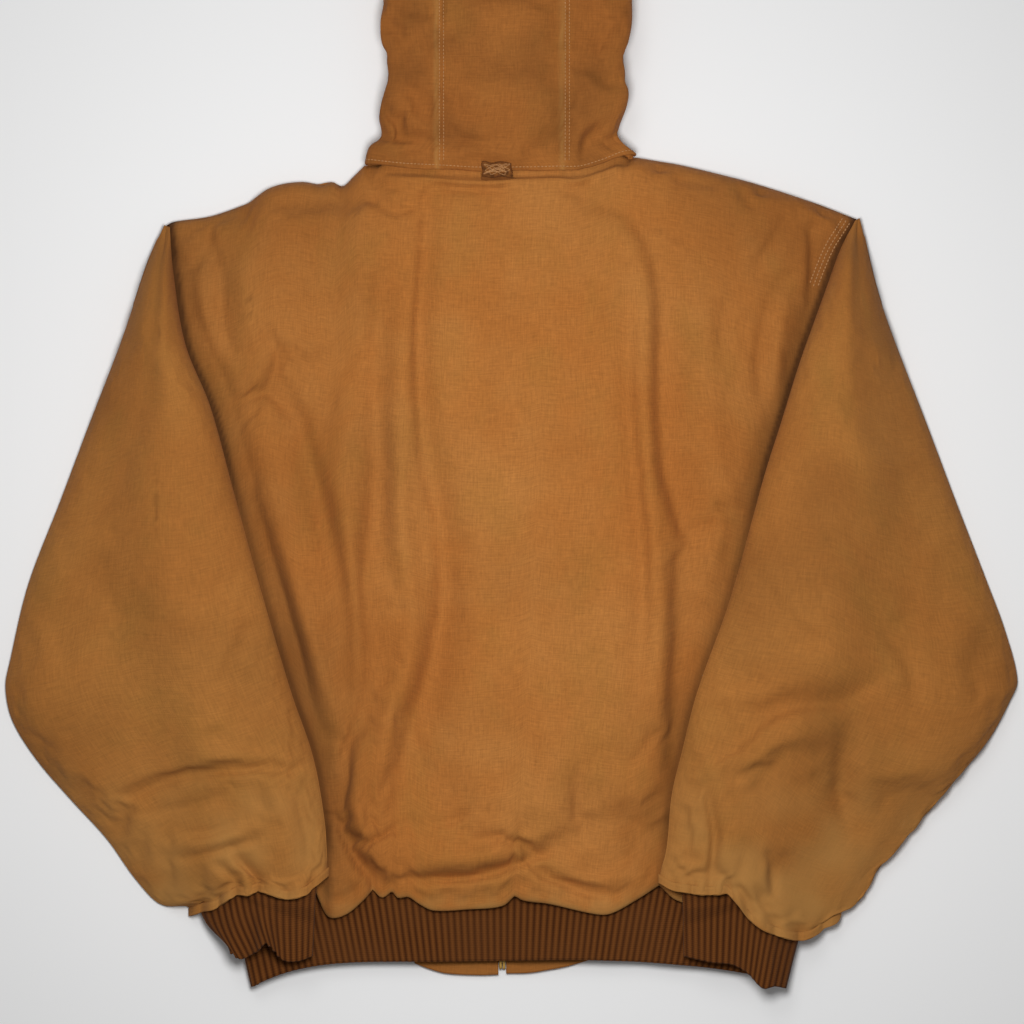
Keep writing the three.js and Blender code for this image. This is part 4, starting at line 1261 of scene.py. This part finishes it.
for number, seam in enumerate(HOOD_SEAMS):
    for row, away in enumerate((2.6, 6.2)):
        blend_hood(sew(f"hood_seam_{number}_{row}", hood, [(seam + away, 4), (seam + away, 320)]))
blend_hood(sew("hood_foot_stitching", hood, [(x, y + 4.4) for x, y in NECK]))
for row in range(3):
    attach(sew(f"armhole_stitching_{row}", back, ARMHOLE, -(3.4 + 3.8 * row), radius=0.5), "root")
blend_hood(hood)


# ---------------------------------------------------------------------------------------
# Hang loop

LOOP_AT = (-4.5, -4.0)


def make_loop():
    """A short strap, crumpled into a bunch and sewn down."""
    u = np.linspace(-1, 1, 80)[None]
    v = np.linspace(-1, 1, 50)[:, None]
    x = LOOP_AT[0] + 13 * u + 0.6 * np.sin(3 * v) + 0 * v
    y = LOOP_AT[1] - 6.6 * v + 0.7 * np.sin(5 * u) + 0 * u
    body = (1 - np.abs(u) ** 6) ** 0.5 * (1 - np.abs(v) ** 4) ** 0.5
    crumples = 2.6 * noise(x, y * 1.3, 4.2, 51) + 1.2 * noise(x, y, 2.1, 52)
    # The strap is darker where its crumples sink.
    return sheet(
        "hang_loop_strap", np.dstack([x, y, 37.5 + (5.5 + crumples) * body]), 1.6, HOOD_DUCK,
        marks={"wear_and_highlight": 0.1, "soil_and_shade": 0.35 + 0.4 * np.clip(-crumples / 2, 0, 1)},
    )


def make_loop_tail():
    """The end of the strap that shows below the bunch."""
    u = np.linspace(-1, 1, 40)[None]
    v = np.linspace(0, 1, 12)[:, None]
    x = LOOP_AT[0] + 13.6 * u + 0 * v
    y = LOOP_AT[1] - 4 - 5.4 * v + 0.5 * np.sin(4 * u)
    z = 37.4 + 0.5 * noise(x, y, 5, 53) - 0.8 * v
    return sheet("hang_loop_tail", np.dstack([x, y, z]), 1.2, HOOD_DUCK, marks={"soil_and_shade": 0.55})


loop = make_loop()
loop_tail = make_loop_tail()
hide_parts("hang_loop")
# The thread runs to and fro over the bunch.
turns = [(LOOP_AT[0] + 12 * math.sin(2.3 * k), LOOP_AT[1] + 5 * math.sin(3.7 * k)) for k in range(15)]
tack = on_surface(loop, trace(turns, 260))
loop_thread = stitches("hang_loop_thread", tack, THREAD, pitch=1.5, length=1.45, radius=0.3)
for piece in (loop, loop_tail, loop_thread):
    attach(piece, "root")


# ---------------------------------------------------------------------------------------
# Fronts, tabs, pockets and linings


def front_outline(side, columns, rows, share=1.0, zip_edge=ZIP_GAP):
    """Grid of one front in X and Y, from its side edge to the zip, drawn in to a share of its size."""
    line = TOP_LINE if side == LEFT else TOP_LINE[::-1]
    shoulder = line[side * line[:, 0] > NECK_HALF]
    t = np.linspace(0, 1, 40)[:, None]
    neckline = np.hstack([side * lerp(116, zip_edge, t), -88 * (1 - (1 - t) ** 2) + 2])
    top = trace(shoulder[::8], columns, neckline[::4])
    foot_x = np.linspace(side * 250, side * zip_edge, columns)
    foot = np.stack([foot_x, hem_y(foot_x)], 1)
    edge = trace([tuple(p) for p in SIDE_EDGES[side]], rows)
    edge[-1] = foot[0]
    edge[0] = top[0]
    centre = np.linspace(top[-1], foot[-1], rows)
    grid = patch(top, foot, edge, centre)
    middle = grid.mean((0, 1))
    return middle + (grid - middle) * share


def quilting(x, y, pitch=52, depth=1.6):
    """Height of a lining quilted in diamonds: full in the middle, flat at the stitching."""
    a = np.abs(np.sin(np.pi * (x + y) / pitch))
    b = np.abs(np.sin(np.pi * (x - y) / pitch))
    return depth * (np.minimum(a, b) ** 0.5 - 1)


def make_front(side):
    grid = front_outline(side, 90, 160)
    x, y = grid[..., 0], grid[..., 1]
    lift = 0.5 + 0.5 * noise(x, y, 45, 61)
    edge = smooth(inside(x, y) / 25) * smooth((y - hem_y(x)) / 12) * smooth((np.abs(x) - 4) / 20)
    outer = np.dstack([x, y, FRONT_Z + 0.9 * lift * edge])
    inner = outer + np.array([0, 0, DUCK])
    worn_and_lit = {"wear_and_highlight": 0.05, "soil_and_shade": 0.05}
    made = sheet(
        "jacket_front_" + NAMES[side], outer, DUCK, BODY_DUCK, marks=worn_and_lit, inner=inner, facing="down"
    )
    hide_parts("front_panel_" + NAMES[side])
    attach(made, "root")
    lined = front_outline(side, 70, 110, 0.86, 9.4)
    x, y = lined[..., 0], lined[..., 1]
    puff = quilting(x, y)
    upper = np.dstack([x, y, 8.4 + puff * 0.9])
    under = np.dstack([x, y, 6.2 - puff * 0.2])
    lining = sheet("quilted_front_" + NAMES[side], upper, LINING, QUILT, inner=under)
    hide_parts("front_lining_" + NAMES[side])
    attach(lining, "root")


def slab(name, outline, z0, z1, node, uneven):
    """A flat sewn piece of duck between four curves of its outline: top, bottom, left, right."""
    top, foot = trace(outline["top"], 40), trace(outline["bottom"], 40)
    left, right = trace(outline["left"], 30), trace(outline["right"], 30)
    grid = patch(top, foot, left, right)
    x, y = grid[..., 0], grid[..., 1]
    wavy = 0.5 + 0.5 * noise(x, y, 14, 71)
    under = np.dstack([x, y, z0 + uneven * wavy])
    upper = np.dstack([x, y, z1 - 0 * x])
    made = sheet(name, upper, z1 - z0, BODY_DUCK, inner=under, marks={"wear_and_highlight": 0.12, "soil_and_shade": 0.2})
    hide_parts(node)
    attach(made, "root")


def make_tab(side):
    """The duck tab beside the zip, at the end of the waistband."""
    x0, x1 = (ZIP_GAP, 77) if side == RIGHT else (-77, -ZIP_GAP)
    if side == LEFT:
        foot = [(x0, -697), (-64, -702), (-49, -706), (-20, -707.5), (x1, -707)]
    else:
        foot = [(x0, -706), (24, -705.5), (40, -703), (56, -700), (x1, -694)]
    outline = {
        "top": [(x0, hem_y(x0) - 0.6), (x1, hem_y(x1) - 0.6)],
        "bottom": foot,
        "left": [(x0, hem_y(x0) - 0.6), foot[0]],
        "right": [(x1, hem_y(x1) - 0.6), foot[-1]],
    }
    slab("front_tab_" + NAMES[side], outline, 3.0, 4.6, "hem_tab_" + NAMES[side], 0.0)


def make_pocket(side):
    """A hand pocket with a slanted opening."""
    x0, x1, y0, y1 = 62 * side, 212 * side, -606, -422
    mouth_x, mouth_y = 130 * side, y0 + 66
    outline = {
        "top": [(x0, y1), (mouth_x, y1 - 0.5), ((x1 + mouth_x) / 2, y1 - 58), (x1, mouth_y)],
        "bottom": [(x0, y0), (x1, y0)],
        "left": [(x0, y1), (x0, y0)],
        "right": [(x1, mouth_y), (x1, y0)],
    }
    if side == LEFT:
        outline = {
            "top": outline["top"][::-1], "bottom": outline["bottom"][::-1],
            "left": outline["right"], "right": outline["left"],
        }
    slab("pouch_pocket_" + NAMES[side], outline, 0.3, 2.6, "hand_pocket_" + NAMES[side], 0.5)


for make in (make_front, make_tab, make_pocket):
    for side in (LEFT, RIGHT):
        make(side)


def make_back_lining():
    u = np.linspace(-1, 1, 130)[None]
    v = np.linspace(0, 1, 130)[:, None]
    first, foot = -66.0, -630.0
    y = lerp(first - 0.1 * (u * 130) ** 2 / 130, foot + 12 * u**2, v)
    left, right = edge_x(LEFT, y) + 46, edge_x(RIGHT, y) - 46
    x = lerp(left, right, 0.5 + 0.5 * u)
    level = back_z(x, y) + np.minimum(back_wrinkles(x, y), 0)
    puff = quilting(x, y)
    top = np.clip(level - 8, 11.2, np.maximum(level - 2.4, 10.8)) + 0.5 * puff
    upper = np.dstack([x, y, top])
    under = np.dstack([x, y, top - 1.6 - 0.5 * puff])
    made = sheet("quilted_back", upper, LINING, QUILT, inner=under)
    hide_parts("back_lining")
    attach(made, "root")


def make_sleeve_lining(side):
    share = 0.5 - 0.41 * np.cos(np.pi * np.linspace(0, 1, 50))
    v = np.linspace(0.13, 0.86, 130)
    flat, low, high, _ = sleeve_layers(side, share, v)
    x, y = flat[..., 0], flat[..., 1]
    puff = quilting(x, y, 48, 1.0)
    upper = np.dstack([flat, np.maximum(high - 14, low + 6.5) + puff])
    lower = np.dstack([flat, low + 2.8 - puff])
    for k in (0, -1):
        upper[:, k, 2] = lower[:, k, 2] = (upper[:, k, 2] + lower[:, k, 2]) / 2
    ring = ring_of(upper, lower)
    made = sheet("quilted_sleeve_" + NAMES[side], ring, LINING, QUILT, ring=True)
    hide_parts(f"sleeve_{NAMES[side]}_lining")
    blend_sleeve(made)


def make_hood_lining():
    grid = make_hood(4.6, 120, 80)
    x, y = grid[..., 0], grid[..., 1]
    grid = grid + normals(grid) * quilting(x, y, 48, 1.0)[..., None]
    made = sheet("quilted_hood", grid, LINING, QUILT, facing="out")
    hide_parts("hood_lining")
    blend_hood(made)


make_back_lining()
for side in (LEFT, RIGHT):
    make_sleeve_lining(side)
make_hood_lining()


def make_hood_hem(side):
    """Drawcord channel along the face opening, with a puckered edge."""
    v = np.linspace(0, 1, 110)[:, None]
    u = np.linspace(0, 1, 12)[None]
    x = side * lerp(MOUTH_HALF + 0.5, 49.5, u)
    y = lerp(neckline_y(x) + 2, 248, v)
    wavy = 0.5 + 0.5 * noise(x * 3, y, 7, 81)
    x = x + 0 * y
    under = np.dstack([x, y, 1.25 + 0.5 * wavy * np.sin(np.pi * u)])
    upper = np.dstack([x, y, 2.7 + 0 * y])
    worn_and_lit = {"wear_and_highlight": 0.2, "soil_and_shade": 0.1}
    made = sheet("hood_channel_" + NAMES[side], upper, 1.3, HOOD_DUCK, inner=under, marks=worn_and_lit)
    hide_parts("hood_hem_" + NAMES[side])
    blend_hood(made)


def make_eyelet(side):
    """A rolled brass ring set in the drawcord channel's outer face."""
    lo, hi = (np.array(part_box("eyelet_" + NAMES[side])[k]) / MM for k in (0, 1))
    middle = (lo + hi) / 2 - ORIGIN
    radius, high = (hi - lo)[0] / 2, (hi - lo)[2]
    turn = np.linspace(0, 2 * math.pi, 48, endpoint=False)
    profile = [(1.0, 1.0), (1.0, 0.6), (0.93, 0.2), (0.8, 0), (0.66, 0.12), (0.55, 0.5), (0.52, 1.0)]
    rings, n = len(profile), len(turn)
    points = [
        (middle[0] + radius * r * math.cos(a), middle[1] + radius * r * math.sin(a), lo[2] + high * z)
        for r, z in profile
        for a in turn
    ]
    faces = [
        (i * n + k, (i + 1) % rings * n + k, (i + 1) % rings * n + (k + 1) % n, i * n + (k + 1) % n)
        for i in range(rings)
        for k in range(n)
    ]
    made = new_object("brass_eyelet_" + NAMES[side], np.array(points), faces, BRASS)
    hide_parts("eyelet_" + NAMES[side])
    blend_hood(made)


for make in (make_hood_hem, make_eyelet):
    for side in (LEFT, RIGHT):
        make(side)


# ---------------------------------------------------------------------------------------
# Zip

ZIP_TOP, ZIP_FOOT = -88.3, -702.0
TOOTH_PITCH = 2.6


def blocks(name, boxes, taper=0.8):
    """Small brass pieces, each a box whose far side in X is narrower."""
    points, faces = [], []
    for x0, x1, y0, y1, z0, z1 in boxes:
        base = len(points)
        middle, half = (y0 + y1) / 2, (y1 - y0) / 2
        low, high = (z0 + z1) / 2, (z1 - z0) / 2
        for x, t in ((x0, 1), (x1, taper)):
            for dy, dz in ((-1, -1), (1, -1), (1, 1), (-1, 1)):
                points.append((x, middle + dy * half * t, low + dz * high * t))
        ends = [(0, 3, 2, 1), (4, 5, 6, 7)]
        sides = [(k, (k + 1) % 4, (k + 1) % 4 + 4, k + 4) for k in range(4)]
        turned = ends + sides if x1 > x0 else [f[::-1] for f in ends + sides]
        faces += [tuple(base + k for k in f) for f in turned]
    return new_object(name, np.array(points), faces, BRASS, smooth_faces=False)


def soften(made, width, segments=2):
    """Rounds a hard piece's edges."""
    bevel = made.modifiers.new("bevel", "BEVEL")
    bevel.width = width * MM
    bevel.segments = segments
    bevel.limit_method = "ANGLE"
    with bpy.context.temp_override(object=made, active_object=made):
        bpy.ops.object.modifier_apply(modifier="bevel")


def make_zip():
    """Both rows of teeth, with their tapes, top stops, box and pin."""
    for side in (LEFT, RIGHT):
        name = NAMES[side]
        shift = 0 if side == LEFT else TOOTH_PITCH / 2
        teeth = []
        y = ZIP_FOOT + 11.2 + shift
        while y < ZIP_TOP - 5:
            teeth.append((side * 2.7, side * 0.15, y - 0.62, y + 0.62, 3.1, 5.4))
            y += TOOTH_PITCH
        chain = blocks("zip_teeth_" + name, teeth)
        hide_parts("zipper_chain_" + name)
        stop_box = (side * 2.7, side * 0.2, ZIP_TOP - 3, ZIP_TOP, 3.0, 5.5)
        stop = blocks("zip_stop_" + name, [stop_box], 0.9)
        soften(stop, 0.4)
        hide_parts("top_stop_" + name)
        y = np.linspace(ZIP_TOP, ZIP_FOOT + 8, 200)[:, None]
        x = side * np.linspace(3.2, 15.0, 8)[None] + 0 * y
        z = 5.5 + 0.08 * np.sin(y / 3.1) + 0 * x
        upper = np.dstack([x, y + 0 * x, z])
        tape = sheet("zip_tape_" + name, upper, 0.5, TAPE)
        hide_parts("zipper_tape_" + name)
        foot = "zipper_box" if side == LEFT else "zipper_pin"
        end_box = (side * 2.75, side * 0.15, ZIP_FOOT, ZIP_FOOT + 9, 3.0, 5.5)
        end = blocks("zip_" + foot[-3:], [end_box], 0.96)
        soften(end, 0.4)
        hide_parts(foot)
        for piece in (chain, stop, tape, end):
            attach(piece, "root")


def plate_from(name, outline, z0, z1):
    """A flat brass plate with rounded edges from its outline, which runs anticlockwise."""
    n = len(outline)
    points = [(x, y, z) for z in (z0, z1) for x, y in outline]
    faces = [tuple(range(n - 1, -1, -1)), tuple(range(n, 2 * n))]
    faces += [(k, (k + 1) % n, (k + 1) % n + n, k + n) for k in range(n)]
    made = new_object(name, np.array(points), faces, BRASS, smooth_faces=False)
    soften(made, 0.25)
    return made


def make_slider():
    """The slider's two plates, wide and rounded at the top, and the lug that the pull hangs on."""
    top, length, half, low_half = -92.3, 17, 6, 4.3
    ends = [(half * math.cos(a), top - 3 + 3 * math.sin(a)) for a in np.linspace(0, math.pi, 15)]
    outline = [(-low_half, top - length), (low_half, top - length), *ends]
    back_plate = plate_from("slider_inner_plate", outline, 5.85, 6.95)
    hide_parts("slider_back")
    front_plate = plate_from("slider_face", outline, 1.55, 2.65)
    lug = plate_from("slider_lug", [(-1, -99.0), (1, -99.0), (1, -97.5), (-1, -97.5)], 0.1, 1.5)
    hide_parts("slider_front")
    for piece in (back_plate, front_plate, lug):
        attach(piece, "slider")


def make_pull():
    """The pull: a flat tag with a window for the lug and a rounded end, in one ring of faces."""
    top, half, length = -95.5, 4.0, 28.0
    count = 48
    a = np.linspace(0, 2 * math.pi, count, endpoint=False)
    square = lambda c, p: np.sign(c) * np.abs(c) ** p
    round_y = top - length + half  # its rounded end starts here
    inner = [(1.9 * square(math.cos(t), 0.3), top - 3.6 + 2 * square(math.sin(t), 0.3)) for t in a]
    outer = []
    for t in a:
        x, y = half * square(math.cos(t), 0.35), math.sin(t)
        y = top - 3.6 + (3.6 * square(y, 0.35) if y > 0 else 24.4 * square(y, 0.8))
        if y <= round_y:
            x *= math.sqrt(max(0.02, 1 - ((round_y - y) / half) ** 2))
        outer.append((x, y))
    points = [(x, y, z) for z in (0.08, 0.92) for edge in (inner, outer) for x, y in edge]
    faces = []
    for k in range(count):
        m = (k + 1) % count
        faces.append((k, m, count + m, count + k))
        faces.append((2 * count + k, 3 * count + k, 3 * count + m, 2 * count + m))
        faces.append((count + k, count + m, 3 * count + m, 3 * count + k))
        faces.append((m, k, 2 * count + k, 2 * count + m))
    made = new_object("zip_pull", np.array(points), faces, BRASS, smooth_faces=False)
    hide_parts("zipper_pull")
    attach(made, "pull")


make_zip()
make_slider()
make_pull()


def make_label():
    """Plain woven label sewn inside the neck."""
    u = np.linspace(-31, 31, 40)[None]
    v = np.linspace(0, 1, 24)[:, None]
    lo, hi = (np.array(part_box("neck_label")[k]) / MM - ORIGIN for k in (0, 1))
    x = u + 0 * v
    y = lerp(hi[1], lo[1], v) + 0 * u
    z = hi[2] - 0.3 * (0.5 + 0.5 * noise(x, y, 9, 91))
    made = sheet("woven_label", np.dstack([x, y, z]), 0.4, LABEL)
    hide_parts("neck_label")
    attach(made, "root")


def make_inner_pocket():
    """A quilted pocket on the lining, as large as its CAD node."""
    lo, hi = (np.array(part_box("inner_pocket")[k]) / MM - ORIGIN for k in (0, 1))
    u = np.linspace(0, 1, 60)[None]
    v = np.linspace(0, 1, 70)[:, None]
    x = lerp(lo[0], hi[0], u) + 0 * v
    y = lerp(hi[1], lo[1], v) + 0 * u
    z = hi[2] - 0.1 + quilting(x, y, 52, 0.5)
    made = sheet("quilted_pocket", np.dstack([x, y, z]), 0.7, QUILT)
    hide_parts("inner_pocket")
    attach(made, "root")


make_label()
make_inner_pocket()


# ---------------------------------------------------------------------------------------
# What each piece of cloth was cut to: pattern-like sizes, fitted to the areas of the modelled pieces


# ---------------------------------------------------------------------------------------
# Stage, light and camera

# All in metres
VIEW_WIDTH = 0.891  # what the picture spans at VIEW_HEIGHT
VIEW_CENTRE = (0, -0.1126)
VIEW_HEIGHT = 0.03
DISTANCE = 3.2
FLOOR_HALF = 12
FLOOR_Z = -0.0005


def make_stage():
    mesh = bpy.data.meshes.new("floor")
    corners = ((-1, -1), (1, -1), (1, 1), (-1, 1))
    points = [(FLOOR_HALF * x, FLOOR_HALF * y, FLOOR_Z) for x, y in corners]
    mesh.from_pydata(points, [], [(0, 1, 2, 3)])
    floor = bpy.data.objects.new("floor", mesh)
    bpy.context.scene.collection.objects.link(floor)
    f = Finish("floor")
    f.shade(Base_Color=(0.9, 0.9, 0.9, 1), Roughness=0.9)
    mesh.materials.append(f.material)


def area_light(name, where, aim, size, power):
    data = bpy.data.lights.new(name, "AREA")
    data.shape = "DISK"
    data.size = size
    data.energy = power
    lamp = bpy.data.objects.new(name, data)
    lamp.location = where
    lamp.visible_camera = False
    lamp.rotation_euler = (Vector(aim) - Vector(where)).to_track_quat("-Z", "Y").to_euler()
    bpy.context.scene.collection.objects.link(lamp)


def make_camera():
    data = bpy.data.cameras.new("camera")
    data.sensor_width = 36
    data.lens = 36 * DISTANCE / VIEW_WIDTH
    data.clip_end = 50
    camera = bpy.data.objects.new("camera", data)
    camera.location = (*VIEW_CENTRE, VIEW_HEIGHT + DISTANCE)
    bpy.context.scene.collection.objects.link(camera)
    bpy.context.scene.camera = camera


make_stage()
make_camera()
area_light("key", (0.0, -0.05, 1.25), (0, -0.08, 0), 0.42, 11.4)
area_light("fill", (-0.5, 1.1, 1.8), (0, -0.1, 0), 1.0, 6)
world = bpy.data.worlds.new("world")
world.use_nodes = True
world.node_tree.nodes["Background"].inputs["Color"].default_value = (1, 1, 1, 1)
world.node_tree.nodes["Background"].inputs["Strength"].default_value = 0.2
bpy.context.scene.world = world
bpy.context.scene.view_settings.view_transform = "Standard"
